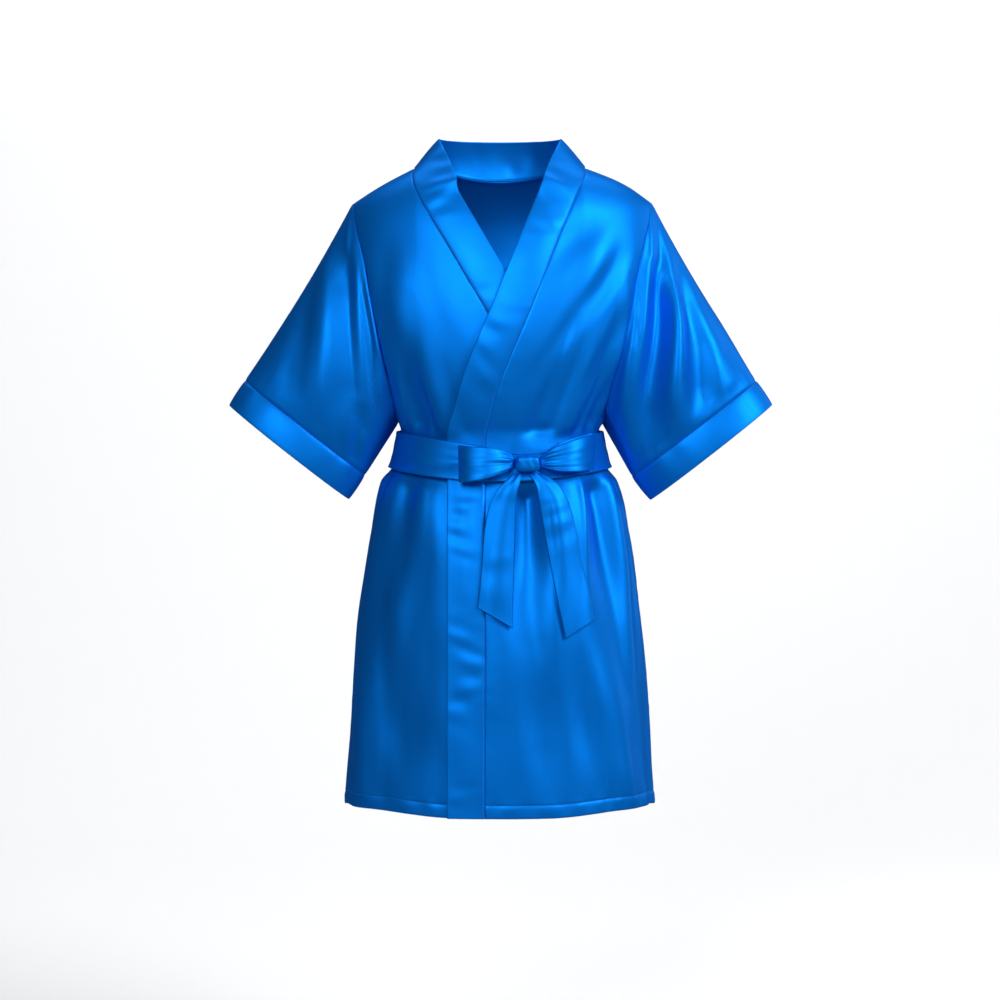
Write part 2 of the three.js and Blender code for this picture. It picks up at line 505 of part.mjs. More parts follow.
function sleeveFold(folds, turn, along) {
  const length = mix(277, 84, (1 - Math.cos(turn * RAD)) / 2);
  let sum = 0;
  for (const fold of folds) {
    let near = 1e9;
    let share = 0;
    for (let k = 0; k <= 16; k += 1) {
      const s = k / 16;
      const a = fold.a0 * (1 - s) ** 2 + 2 * (2 * fold.a1 - (fold.a0 + fold.a2) / 2) * s * (1 - s) + fold.a2 * s * s;
      const v = fold.v0 * (1 - s) ** 2 + 2 * (2 * fold.v1 - (fold.v0 + fold.v2) / 2) * s * (1 - s) + fold.v2 * s * s;
      const gap = Math.hypot((turn - a) * 1.4, (along - v) * length);
      if (gap < near) {
        near = gap;
        share = ease(s / 0.3) * ease((1 - s) / 0.35);
      }
    }
    sum += fold.deep * share * bump(near / fold.wide);
  }
  const sag = -4.5 * Math.sin(Math.PI * along) * bump(Math.min(turn, 360 - turn) / 60);
  return sag + sum * ease(along / 0.07) * ease((1 - along) / 0.12);
}
function sleeve(side, hole) {
  const folds = side > 0 ? SLEEVE_FOLDS.right : SLEEVE_FOLDS.left;
  const smooth = sheet(SLEEVE_ROWS.length - 1, HOLE, (i, j) => {
    const v = SLEEVE_ROWS[i];
    const belly = 9 * Math.sin(Math.PI * v) * Math.sin(hole.turns[j] * RAD);
    const at = hole.points[j].clone().lerp(cuffPoint(CUFF_SEAM, hole.turns[j], side), v);
    return at.add(vec(0, -belly, 0));
  }, { round: true, flip: side > 0 });
  return sheet(smooth.rows, HOLE, (i, j) => smooth.p[i][j].clone().addScaledVector(
    smooth.n[i][j], sleeveFold(folds, hole.turns[j], SLEEVE_ROWS[i])), { round: true, flip: side > 0 });
}
function cuff(side, hole) {
  return sheet(2, HOLE, (i, j) => cuffPoint(CUFF_SEAM, hole.turns[j], side).lerp(
    cuffPoint(CUFF_END, hole.turns[j], side), i / 2), { round: true, flip: side > 0 });
}
const holes = { right: armhole(1), left: armhole(-1) };
const sleeveRight = sleeve(1, holes.right);
const sleeveLeft = sleeve(-1, holes.left);
const cuffRight = cuff(1, holes.right);
const cuffLeft = cuff(-1, holes.left);

// The neckband: up the lower front from the hem, round the back of the neck and down the upper front.
const BAND_ROWS = 2 * HEM + NECK_COLS;
function bandPlace(m) {
  if (m <= HEM) return { side: -1, level: HEM - m, at: [frontUnder, HEM - m, FRONT_COLS] };
  if (m < HEM + NECK_COLS) return { side: 0, at: [back, 0, SHOULDER_COLS + NECK_COLS - (m - HEM)] };
  return { side: 1, level: m - HEM - NECK_COLS, at: [frontOver, m - HEM - NECK_COLS, 0] };
}
function bandPoint(m, share) {
  const { side, level, at: [g, i, j] } = bandPlace(m);
  const seam = g.p[i][j].clone();
  if (side === 0) {
    const around = Math.PI * ((m - HEM) / NECK_COLS);
    const edge = vec(-78 * Math.cos(around), -6 + 54 * Math.sin(around), 35.5);
    return seam.lerp(edge, share).add(vec(0, 2.5 * Math.sin(around) * Math.sin(Math.PI * share), 0));
  }
  const key = side > 0 ? "over" : "under";
  const sign = side;
  const bareSeam = bare(turnOf(sign * LEVELS[level][key], level), level);
  if (level < NECK_EDGE.length) {
    const neck = NECK_EDGE[level];
    const edge = vec(sign * neck.x, neck.y, neck.z);
    return seam.lerp(edge, share);
  }
  const [up, low] = [Math.max(level - 1, 3), Math.min(level + 1, HEM)].map((k) => LEVELS[k]);
  const run = vec(sign * (low[key] - up[key]), 0, low.z - up.z).normalize();
  const x = bareSeam.x + share * BAND_WIDE * run.z * sign;
  const z = Math.max(LEVELS[HEM].z, LEVELS[level].z - share * BAND_WIDE * run.x * sign);
  const where = levelOf(z);
  return body(turnOf(x, where), where, side);
}
const band = sheet(BAND_ROWS, BAND_COLS, (i, j) => {
  if (j > 0) return bandPoint(i, j / BAND_COLS);
  const [g, row, col] = bandPlace(i).at;
  return g.p[row][col].clone();
}, { flip: true });

// The belt: a ring round the waist, with the bow's loops, knot and ends on it.
const beltOut = (turn) => BELT_OUT + OVER_OUT * (turn >= 0 ? 1 - ease((turn - 35) / 40) : 1 - ease((-turn - 30) / 30));
// The knot draws the wrap's upper edge down on both sides of it.
const drawnTo = (turn, share) => {
  const near = Math.exp(-((((turn - 14) * RAD * 100) / 36) ** 2));
  const even = beltMid(turn) + BELT_TALL * (0.5 - share);
  return mix(even, KNOT.z + 18 * (0.5 - share), 0.9 * near * (1 - share) ** 1.5);
};
const belt = sheet(3, BELT_COLS, (i, j) => {
  const turn = (360 * j) / BELT_COLS - 180;
  const level = levelOf(drawnTo(turn, i / 3));
  return bare(turn, level).addScaledVector(outward(turn, level), beltOut(turn));
}, { round: true });

function loop(rows) {
  return sheet(rows.length - 1, 4, (i, j) => {
    const row = rows[i];
    const off = 2 * (j / 4) - 1;
    const level = levelOf(row.z - off * row.tall * 0.5);
    const turn = turnOf(row.x, level);
    const out = outward(turn, level).setZ(0).normalize();
    const crown = i < rows.length / 2 ? -2.5 * off * off : 0;
    const onBelt = bare(turn, level).addScaledVector(outward(turn, level), beltOut(turn));
    return onBelt.addScaledVector(out, row.rise + crown);
  }, { flip: rows[0].x > rows[1].x });
}
const loopLeft = loop(LOOP_LEFT);
const loopRight = loop(LOOP_RIGHT);

function tail(rows) {
  return sheet(rows.length - 1, 4, (i, j) => {
    const row = rows[i];
    const [x, z] = [mix(row.x0, row.x1, j / 4), mix(row.z0, row.z1, j / 4)];
    const level = levelOf(z);
    const crease = 1.6 * Math.sin((j / 4) * Math.PI) * ease(i / 2);
    const turn = turnOf(x, level);
    const at = between(LEVELS, level);
    const fold = foldAt(turn, at.z, (at.half + at.front) / 2) * ease((i - 1) / 3);
    const off = layerAt(turn, at.z, 1) + (fold > 0 ? fold : 0.4 * fold) + row.rise + crease;
    return bare(turn, level).addScaledVector(outward(turn, level), off);
  });
}
const tailLeft = tail(TAIL_LEFT);
const tailRight = tail(TAIL_RIGHT);

function knot() {
  const level = levelOf(KNOT.z);
  const turn = turnOf(KNOT.x, level);
  const out = outward(turn, level).setZ(0).normalize();
  const centre = bare(turn, level).addScaledVector(out, beltOut(turn) + KNOT.rise);
  const geometry = new THREE.SphereGeometry(1, 14, 9);
  const at = geometry.getAttribute("position");
  for (let i = 0; i < at.count; i += 1) {
    const [x, y, z] = [at.getX(i), at.getY(i), at.getZ(i)];
    const k = (Math.abs(x) ** 3 + Math.abs(y) ** 3 + Math.abs(z) ** 3) ** (-1 / 3);
    at.setXYZ(i, x * k * KNOT.wide * 0.5, y * k * KNOT.tall * 0.5, z * k * KNOT.deep * 0.5);
  }
  geometry.rotateX(Math.PI / 2);
  geometry.rotateZ(Math.atan2(out.x, -out.y));
  geometry.translate(centre.x, centre.y, KNOT.z);
  geometry.computeVertexNormals();
  const made = new THREE.Mesh(geometry, SATIN);
  made.name = "belt_knot";
  return made;
}

// Seams: shared normals first, then every piece draws back from its lines.
join(frontOver, column(FRONT_COLS, UNDERARM, HEM), back, column(0, UNDERARM, HEM));
join(frontUnder, column(0, UNDERARM, HEM), back, column(BACK_COLS, UNDERARM, HEM));
holes.right.places.forEach(([g, i, j], k) => meet([g, i, j], [sleeveRight, 0, k]));
holes.left.places.forEach(([g, i, j], k) => meet([g, i, j], [sleeveLeft, 0, k]));
meet([frontOver, 0, FRONT_COLS], [back, 0, 0], [sleeveRight, 0, 0]);
meet([frontUnder, 0, 0], [back, 0, BACK_COLS], [sleeveLeft, 0, 0]);
meet([frontOver, UNDERARM, FRONT_COLS], [back, UNDERARM, 0], [sleeveRight, 0, UNDERARM]);
meet([frontUnder, UNDERARM, 0], [back, UNDERARM, BACK_COLS], [sleeveLeft, 0, UNDERARM]);
for (let m = 0; m <= BAND_ROWS; m += 1) meet(bandPlace(m).at, [band, m, 0]);
const neckRight = SHOULDER_COLS;
const neckLeft = SHOULDER_COLS + NECK_COLS;
meet([frontOver, 0, 0], [back, 0, neckRight], [band, HEM + NECK_COLS, 0]);
meet([frontUnder, 0, FRONT_COLS], [back, 0, neckLeft], [band, HEM, 0]);
for (let k = 0; k < HOLE; k += 1) {
  meet([sleeveRight, sleeveRight.rows, k], [cuffRight, 0, k]);
  meet([sleeveLeft, sleeveLeft.rows, k], [cuffLeft, 0, k]);
}

const nearPit = (i) => (i > UNDERARM ? 1 : 1 + 3 * bump((i - UNDERARM) / 4) + 2 * bump(i / 3));
drawIn(frontOver, column(FRONT_COLS, 0, HEM), 0, -1, nearPit);
drawIn(frontOver, column(0, 0, HEM), 0, 1);
drawIn(frontUnder, column(0, 0, HEM), 0, 1, nearPit);
drawIn(frontUnder, column(FRONT_COLS, 0, HEM), 0, -1);
drawIn(back, column(0, 0, HEM), 0, 1, nearPit);
drawIn(back, column(BACK_COLS, 0, HEM), 0, -1, nearPit);
for (const g of [frontOver, frontUnder, back]) drawIn(g, line(0, 0, g.cols), 1, 0);
drawIn(band, column(0, 0, BAND_ROWS), 0, 1);
for (const g of [sleeveRight, sleeveLeft]) {
  drawIn(g, line(0, 0, HOLE - 1), 1, 0, (i, j) => 1.2 + 6 * bump((j - UNDERARM) / 4));
  drawIn(g, line(g.rows, 0, HOLE - 1), -1, 0);
}
for (const g of [cuffRight, cuffLeft]) drawIn(g, line(0, 0, HOLE - 1), 1, 0);

const garment = new THREE.Group();
garment.name = "robe";
garment.add(
  cloth("back", back, CLOTH),
  cloth("front_over", frontOver, CLOTH),
  cloth("front_under", frontUnder, CLOTH),
  cloth("sleeve_right", sleeveRight, CLOTH),
  cloth("sleeve_left", sleeveLeft, CLOTH),
  cloth("cuff_right", cuffRight, DOUBLED),
  cloth("cuff_left", cuffLeft, DOUBLED),
  cloth("neckband", band, DOUBLED),
  cloth("belt_wrap", belt, DOUBLED),
  cloth("belt_loop_left", loopLeft, CLOTH),
  cloth("belt_loop_right", loopRight, CLOTH),
  knot(),
  cloth("belt_tail_left", tailLeft, DOUBLED),
  cloth("belt_tail_right", tailRight, DOUBLED),
);

export default garment;
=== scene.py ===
import bpy
import math
import numpy as np
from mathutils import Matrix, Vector


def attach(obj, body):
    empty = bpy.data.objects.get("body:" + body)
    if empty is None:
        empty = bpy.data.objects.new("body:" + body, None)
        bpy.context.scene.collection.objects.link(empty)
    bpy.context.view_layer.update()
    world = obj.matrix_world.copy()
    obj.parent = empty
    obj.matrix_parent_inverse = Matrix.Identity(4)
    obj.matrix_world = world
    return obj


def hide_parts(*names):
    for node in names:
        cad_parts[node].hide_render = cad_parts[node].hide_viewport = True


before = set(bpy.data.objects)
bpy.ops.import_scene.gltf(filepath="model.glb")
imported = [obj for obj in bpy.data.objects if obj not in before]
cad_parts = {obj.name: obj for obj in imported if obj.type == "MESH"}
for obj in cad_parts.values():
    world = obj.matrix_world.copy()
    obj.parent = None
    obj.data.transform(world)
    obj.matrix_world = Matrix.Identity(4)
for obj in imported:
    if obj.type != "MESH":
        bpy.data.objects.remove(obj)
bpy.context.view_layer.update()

# Sizes are millimetres in the tables and the shape functions, and become metres where a mesh is made.
MM = 0.001
SQUARE = 2.2
BAND_WIDE = 46.5
BELT_TALL = 49.0
OVER_OUT = 3.5
UNDER_IN = 2.5
BELT_OUT = 5.7
NECK_TURN = 34.4
NECK_BACK = 2.0
UNDERARM = 11
SLEEVE_TOP = 277
SLEEVE_BELOW = 84
SLEEVE_ROUND = 152
CUFF_LONG = 34
HEM_TURNED = 16.6
BELT_AT = -365
KNOT_X = 32.0
KNOT_Z = -381.0
NECK_WIDE = 78
NECK_DEEP = 54
NECK_Y = -6
NECK_TOP = 35.5
DEG = math.pi / 180


def rows(names, values):
    """A table as one array for each named column."""
    return dict(zip(names.split(), np.array(values, float).T))


LEVELS = rows("z half front back over under arm", [
    (0, 189, 0, 0, 110, 110, 189),
    (-4, 190, 26, 29, 110, 111, 188.3),
    (-15, 191, 50, 56, 108.5, 111.5, 187.2),
    (-35, 192, 70, 77, 99.6, 106, 184.8),
    (-65, 193, 85, 91, 87.5, 89.8, 179.7),
    (-105, 193, 96, 98, 71.2, 66.2, 172),
    (-150, 191, 104, 99, 52.9, 39.7, 164.7),
    (-195, 184, 108, 98, 34.6, 13.3, 156.7),
    (-240, 172, 108, 95, 15.3, -4, 148.6),
    (-280, 156, 104, 91, -0.6, -13, 142),
    (-310, 141, 99, 87, -9, -17, 135.5),
    (-328, 132, 95, 84, -13.5, -19, 132),
    (-341, 128, 92, 82, -17, -20, 128),
    (-362, 131, 92, 82, -19, -20, 131),
    (-384, 137, 95, 86, -19, -20, 137),
    (-398, 146, 101, 92, -19, -20, 146),
    (-414, 153, 106, 98, -19, -20, 153),
    (-440, 161, 113, 105, -19, -20, 161),
    (-480, 169, 119, 112, -19, -20, 169),
    (-530, 177, 124, 118, -19, -20, 177),
    (-585, 184, 128, 123, -19, -20, 184),
    (-647, 190, 131, 127, -19, -20, 190),
    (-710, 194, 134, 130, -19, -20, 194),
    (-772, 198, 137, 132, -19, -20, 198),
    (-812, 201, 138.5, 133.5, -19, -20, 201),
    (-828, 202, 139, 134, -19, -20, 202),
])
FOLDS = rows("z0 a0 z1 a1 bend wide deep head foot", [
    (-285, -57, -362, -76, 0, 18, 5, 0.5, 0.05),
    (-205, -40, -362, -52, -1, 26, -8, 0.6, 0.05),
    (-200, -33, -362, -29, -2, 24, 6, 0.7, 0.05),
    (-90, -50, -270, -34, 2, 44, 4, 0.4, 0.5),
    (-120, 53, -310, 55, 0, 18, 4, 0.3, 0.3),
    (-225, 50, -362, 63, 0, 22, -7, 0.6, 0.05),
    (-230, 43, -362, 38, 0, 22, 6, 0.6, 0.05),
    (-180, 34, -362, 20, 1, 26, -7, 0.7, 0.05),
    (-45, 38, -175, 12, 0, 30, -5, 0.4, 0.6),
    (-300, 75, -362, 80, 0, 14, 4, 0.6, 0.05),
    (-290, -66, -362, -66, 0, 14, -4, 0.7, 0.05),
    (-372, -84, -480, -83, 0, 15, 5, 0.05, 0.9),
    (-372, -76, -470, -76, 0, 13, -5, 0.05, 0.9),
    (-372, -68, -490, -66, 0, 16, 3, 0.05, 0.9),
    (-372, -58, -540, -58, 1, 22, 2, 0.05, 0.9),
    (-372, -49, -590, -49, 2, 24, -9, 0.05, 0.7),
    (-372, -41, -650, -25, -2, 36, 4.5, 0.05, 0.8),
    (-372, 14, -720, 11, -4, 26, -9, 0.05, 0.6),
    (-372, 25, -600, 27, 0, 26, 2.5, 0.05, 0.8),
    (-372, 34, -480, 33, 0, 16, -3, 0.05, 0.8),
    (-372, 43, -520, 38, 0, 20, 3, 0.05, 0.7),
    (-372, 53, -600, 55, -4, 24, -9, 0.05, 0.7),
    (-372, 65, -620, 62, 0, 20, 5, 0.05, 0.8),
    (-372, 76, -500, 74, 0, 16, -5, 0.05, 0.8),
    (-560, -46, -810, -37, 0, 40, -7, 0.4, 0.4),
    (-560, -65, -900, -57, 0, 44, 6, 0.4, 0.3),
    (-540, 2, -730, 2, 0, 30, 5, 0.5, 0.5),
    (-620, 14, -820, 18, 0, 34, -6, 0.5, 0.4),
    (-520, 37, -880, 58, -4, 44, 7, 0.5, 0.3),
    (-600, 74, -900, 80, 0, 40, -6, 0.5, 0.3),
    (-110, 150, -362, 164, 2, 40, -5, 0.5, 0.05),
    (-130, -148, -362, -160, -2, 40, -6, 0.5, 0.05),
    (-160, 180, -362, 177, 0, 34, 5, 0.6, 0.05),
    (-230, 132, -362, 140, 0, 26, 6, 0.6, 0.05),
    (-240, -130, -362, -137, 0, 26, 5, 0.6, 0.05),
    (-270, 112, -362, 118, 0, 18, -5, 0.6, 0.05),
    (-280, -108, -362, -114, 0, 18, -4, 0.6, 0.05),
    (-372, 98, -500, 99, 0, 16, 5, 0.05, 0.8),
    (-372, 110, -580, 109, 2, 22, -7, 0.05, 0.7),
    (-372, 124, -680, 122, 0, 30, 7, 0.05, 0.8),
    (-372, 139, -620, 140, -2, 26, -8, 0.05, 0.7),
    (-372, 153, -540, 152, 0, 22, 5, 0.05, 0.8),
    (-372, 165, -700, 168, 0, 26, -8, 0.05, 0.6),
    (-372, 179, -600, -178, 0, 26, 6, 0.05, 0.8),
    (-372, -167, -560, -168, 0, 22, -6, 0.05, 0.7),
    (-372, -154, -660, -157, 2, 28, 6, 0.05, 0.8),
    (-372, -140, -640, -138, 0, 26, -8, 0.05, 0.7),
    (-372, -125, -560, -124, 0, 24, 6, 0.05, 0.8),
    (-372, -111, -620, -112, 0, 22, -6, 0.05, 0.7),
    (-372, -98, -500, -98, 0, 16, 4, 0.05, 0.8),
    (-560, 146, -900, 150, 0, 44, 6, 0.5, 0.3),
    (-600, -170, -900, -174, 0, 46, -6, 0.5, 0.3),
    (-560, -120, -900, -116, 0, 46, 6, 0.5, 0.3),
])
NECK_EDGE = rows("x y z", [
    (NECK_WIDE, NECK_Y, NECK_TOP),
    (71, -28, 20),
    (62, -47, 0),
    (55.5, -66, -18),
])
LOOP_LEFT = rows("x z rise tall", [
    (16.2, -381, 11, 17),
    (8, -381, 17, 28),
    (-3, -381, 23, 35),
    (-18, -382, 26.5, 42),
    (-33, -383, 24.5, 46),
    (-43, -383, 18, 48),
    (-48, -383, 9, 49),
    (-44, -383, 4.2, 48),
    (-30, -383, 3, 44),
    (-12, -382, 3, 38),
    (6, -381, 3.4, 26),
    (16.2, -381, 5, 15),
])
LOOP_RIGHT = rows("x z rise tall", [
    (47.8, -381, 11, 15),
    (56, -378.5, 17, 27),
    (66, -376.5, 22.5, 36),
    (79, -373.8, 26, 43),
    (92, -371.4, 24, 48),
    (103, -369, 17, 49.5),
    (108, -368, 9, 50),
    (104, -369, 4.2, 49),
    (90, -372, 3, 46),
    (72, -375, 3, 38),
    (57, -379, 3.4, 25),
    (47.8, -381, 5, 14),
])
TAIL_LEFT = rows("x0 z0 x1 z1 rise", [
    (18, -398.5, 28, -398.5, 8.3),
    (6, -408, 24, -409, 9.45),
    (-4, -420, 20.5, -422, 8.6),
    (-13, -436, 19.5, -438, 5.8),
    (-19.5, -466, 18.8, -468, 4.2),
    (-22.5, -505, 17.6, -507, 4),
    (-25.5, -540, 16, -560, 4),
    (-28, -562, 15.2, -588, 4),
])
TAIL_RIGHT = rows("x0 z0 x1 z1 rise", [
    (36, -398.5, 50, -398.5, 8.3),
    (43, -411, 67, -409, 9.5),
    (47, -427, 78, -425, 8.6),
    (51, -446, 85, -440, 5.8),
    (56, -475, 92, -468, 4.2),
    (63, -515, 99, -506, 4),
    (71, -560, 109, -546, 4),
    (79.5, -602, 115, -579, 4),
])
SLEEVE_FOLDS_LEFT = rows("a0 v0 a1 v1 a2 v2 wide deep", [
    (48, 0.0, 96, 0.1, 150, 0.36, 34, -13),
    (20, 0.2, 78, 0.38, 152, 0.84, 34, 8),
    (30, 0.5, 70, 0.62, 110, 0.95, 40, -5),
    (320, 0.1, 262, 0.2, 214, 0.5, 38, -10),
    (330, 0.4, 280, 0.55, 225, 0.9, 40, 7),
])
SLEEVE_FOLDS_RIGHT = rows("a0 v0 a1 v1 a2 v2 wide deep", [
    (70, 0.0, 88, 0.06, 112, 0.14, 14, 5),
    (28, 0.16, 78, 0.33, 136, 0.62, 32, -12),
    (24, 0.06, 66, 0.14, 110, 0.3, 24, 5),
    (30, 0.26, 70, 0.5, 108, 0.8, 24, 7),
    (30, 0.5, 58, 0.72, 90, 0.96, 26, -6),
    (318, 0.12, 268, 0.24, 210, 0.56, 38, -11),
    (332, 0.42, 285, 0.58, 240, 0.92, 36, 6),
])
HEM = len(LEVELS["z"]) - 1

# Finer creases that only show in the render, in the same columns as the large folds.
CREASES = rows("z0 a0 z1 a1 bend wide deep head foot", [
    (-70, 52, -250, 22, 2, 20, -3.4, 0.4, 0.5),
    (-60, 45, -220, 30, -2, 20, 3.0, 0.4, 0.5),
    (-110, 58, -330, 36, 3, 20, -3.6, 0.4, 0.3),
    (-120, 40, -300, 13, 0, 18, -2.6, 0.5, 0.4),
    (-150, 34, -345, 24, 1, 12, 3.0, 0.6, 0.1),
    (-210, 54, -350, 44, 1, 9, -2.6, 0.6, 0.1),
    (-270, 57, -350, 51, 0, 7, 2.4, 0.6, 0.1),
    (-280, 70, -350, 71, 0, 7, -2.4, 0.6, 0.1),
    (-60, -50, -210, -38, -2, 26, -1.4, 0.4, 0.5),
    (-90, -56, -300, -53, 0, 26, 1.6, 0.4, 0.4),
    (-100, -42, -330, -44, 0, 22, 1.6, 0.4, 0.3),
    (-230, -47, -350, -60, -1, 9, 3.0, 0.6, 0.1),
    (-250, -40, -350, -40, 0, 8, -3.0, 0.6, 0.1),
    (-290, -64, -350, -66, 0, 6, 2.0, 0.6, 0.1),
    (-398, -36, -520, -33, 0, 12, -1.2, 0.1, 0.8),
    (-392, 41, -620, 34, 0, 7, 2.8, 0.1, 0.8),
    (-390, 49, -720, 46, 1, 28, -7.5, 0.1, 0.6),
    (-396, 14, -600, 13, 0, 24, -9.5, 0.08, 0.6),
    (-390, 30, -680, 26, 0, 26, 2.4, 0.1, 0.7),
    (-396, 82, -470, 82, 0, 9, 1.6, 0.1, 0.8),
    (-430, -36, -640, -34, 1, 18, -2.8, 0.4, 0.5),
    (-400, -62, -700, -55, 1, 24, -3.4, 0.3, 0.5),
    (-470, 62, -760, 58, -1, 24, 3.4, 0.4, 0.5),
    (-450, 72, -660, 70, 0, 16, -2.4, 0.4, 0.5),
    (-520, -76, -760, -74, 0, 24, -2.8, 0.4, 0.5),
    (-500, -48, -760, -40, 0, 26, 2.8, 0.4, 0.5),
    (-560, -31, -800, -29, 0, 22, -2.4, 0.4, 0.5),
    (-500, 20, -690, 22, 0, 18, 3.2, 0.5, 0.5),
    (-600, 30, -790, 34, 0, 26, -3.0, 0.4, 0.5),
    (-640, 48, -860, 50, 0, 26, 2.6, 0.4, 0.3),
    (-640, -62, -860, -60, 0, 28, 2.6, 0.4, 0.3),
    (-90, 160, -300, 172, 0, 22, 3.0, 0.4, 0.5),
    (-100, -165, -290, -172, 0, 24, -2.8, 0.4, 0.5),
    (-140, 140, -330, 150, 0, 18, -2.6, 0.5, 0.2),
    (-150, -138, -330, -147, 0, 18, 2.6, 0.5, 0.2),
    (-430, 131, -640, 131, 0, 20, -3.0, 0.3, 0.6),
    (-430, 172, -600, 174, 0, 18, 3.0, 0.3, 0.6),
    (-420, -160, -620, -162, 0, 18, -3.0, 0.3, 0.6),
    (-430, -132, -600, -131, 0, 18, -2.6, 0.3, 0.6),
    (-430, -103, -600, -104, 0, 18, 2.6, 0.3, 0.6),
])


def gathers(count, seed, deepest):
    """Small pleats all round the waist, unevenly spaced, for above the belt or below it."""
    chance = np.random.default_rng(seed)
    turn = (np.arange(count) + chance.uniform(-0.32, 0.32, count)) * 360 / count - 180
    deep = chance.uniform(0.1, deepest, count) * np.where(np.arange(count) % 2, 1, -1)
    return turn, deep, chance.uniform(8, 15, count), chance.uniform(14, 34, count)


GATHERS_UP = gathers(40, 11, 0.6)
GATHERS_DOWN = gathers(34, 23, 0.3)


def ease(t):
    k = np.clip(t, 0, 1)
    return k * k * (3 - 2 * k)


def bump(t):
    return np.where(np.abs(t) < 1, 0.5 + 0.5 * np.cos(np.pi * np.clip(t, -1, 1)), 0)


def mix(a, b, t):
    return a + (b - a) * t


def between(column, where):
    """A table's column at a fraction of its length, by a smooth curve through its values."""
    last = len(column) - 1
    first = np.clip(np.floor(where).astype(int), 0, last - 1)
    f = where - first
    a, b, c, d = (column[np.clip(first + k, 0, last)] for k in (-1, 0, 1, 2))
    return b + 0.5 * f * (c - a + f * (2 * a - 5 * b + 4 * c - d + f * (3 * b - a - 3 * c + d)))


LEVEL_STEPS = np.linspace(0, HEM, 4001)
LEVEL_HEIGHTS = between(LEVELS["z"], LEVEL_STEPS)


def level_of(z):
    return np.interp(-np.asarray(z, float), -LEVEL_HEIGHTS, LEVEL_STEPS)


def turn_of(x, level):
    r = np.clip(np.abs(x) / between(LEVELS["half"], level), 0, 1)
    rest = np.clip(1 - r ** SQUARE, 0, None) ** (1 / SQUARE)
    return np.sign(x) * np.arctan2(r, rest) / DEG


def stack(x, y, z):
    return np.stack(np.broadcast_arrays(x, y, z), axis=-1).astype(float)


def shoulder_fall(x, z):
    out = np.clip((np.abs(x) - 106) / 83, 0, None)
    return 48 * out ** 1.1 * np.exp(z / 180)


def bare(turn, level):
    """The body line before any fold."""
    turn, level = np.broadcast_arrays(np.asarray(turn, float), np.asarray(level, float))
    z = between(LEVELS["z"], level)
    s = np.sin(turn * DEG)
    c = np.cos(turn * DEG)
    k = (np.abs(s) ** SQUARE + np.abs(c) ** SQUARE) ** (-1 / SQUARE)
    x = between(LEVELS["half"], level) * s * k
    depth = np.where(c > 0, -between(LEVELS["front"], level), between(LEVELS["back"], level))
    return stack(x, depth * np.abs(c) * k, z - shoulder_fall(x, z))


def unit(v):
    return v / np.maximum(np.linalg.norm(v, axis=-1, keepdims=True), 1e-9)


def outward(turn, level):
    level = np.asarray(level, float)
    low = np.minimum(HEM, np.maximum(0.001, level) + 0.02)
    top = np.maximum(0.001, level - 0.02)
    across = bare(turn + 0.5, level) - bare(turn - 0.5, level)
    return unit(np.cross(bare(turn, low) - bare(turn, top), across))


def belt_mid(turn):
    """The belt's height, lower at the front and higher at the back."""
    c = np.cos(turn * DEG)
    return BELT_AT + np.where(c > 0, -17, 10) * c * c


def girth_at(level):
    return (between(LEVELS["half"], level) + between(LEVELS["front"], level)) / 2


def turned_from(turn, at):
    return (turn - at + 540) % 360 - 180


def fold_sum(table, turn, z, girth):
    """The folds of a table. Those below the belt that end above the hem open out downwards."""
    total = np.zeros(np.broadcast(turn, z).shape)
    for z0, a0, z1, a1, bend, wide, deep, head, foot in zip(*table.values()):
        s = (z - z0) / (z1 - z0)
        inside = (s > 0) & (s < 1)
        if not inside.any():
            continue
        swing = a1 - a0 + (360 if a1 - a0 < -180 else 0)
        at = a0 + swing * s + 4 * bend * s * (1 - s)
        share = ease(s / head) * ease((1 - s) / foot)
        opens = 0.8 if z0 < -360 and z1 > -760 else 0
        width = wide * (1 + opens * np.clip(s, 0, 1))
        total += np.where(inside, deep * share * bump(turned_from(turn, at) * DEG * girth / width), 0)
    return total


def gather_sum(turn, z, girth):
    """The small pleats, which die away from the belt."""
    total = np.zeros(np.broadcast(turn, z).shape)
    for pleats, gone in ((GATHERS_UP, z - belt_mid(turn) - 20), (GATHERS_DOWN, belt_mid(turn) - 20 - z)):
        near = (gone > -6) & (gone < 190)
        if not near.any():
            continue
        for at, deep, wide, reach in zip(*pleats):
            fade = np.exp(-np.clip(gone, 0, None) / reach) * ease((gone + 6) / 10)
            width = wide * (1 + np.clip(gone, 0, None) / 90)
            total += np.where(near, deep * fade * bump(turned_from(turn, at) * DEG * girth / width), 0)
    return total


def held(turn, z):
    """1 where the belt holds the cloth flat, and 0 well above and below it."""
    return 1 - ease((np.abs(z - belt_mid(turn)) - 26) / 16)


def layer_at(turn, z, side):
    """How far a front stands out or in where the two fronts overlap."""
    if side == 0:
        return 0 * turn * z
    across = 1 - ease((turn * side - 35) / 40)
    return (OVER_OUT if side > 0 else -UNDER_IN) * across * ease((-40 - z) / 90)


def unevenness(turn, z):
    """Broad soft waves that no cloth on a figure is free of, in millimetres."""
    a = turn * DEG
    slow = np.sin(3.0 * a + 0.011 * z + 0.4) * np.sin(0.021 * z + 1.1 + np.sin(2 * a))
    quick = np.sin(9.0 * a + 0.017 * z) * np.sin(0.043 * z + 2.0 * np.sin(4 * a + 0.7))
    return 0.9 * slow + 0.45 * quick


def fold_at(turn, z, girth):
    large = fold_sum(FOLDS, turn, z, girth)
    fine = fold_sum(CREASES, turn, z, girth) + unevenness(turn, z) * ease((-30 - z) / 80)
    return (large + fine) * (1 - 0.8 * held(turn, z)) + gather_sum(turn, z, girth)


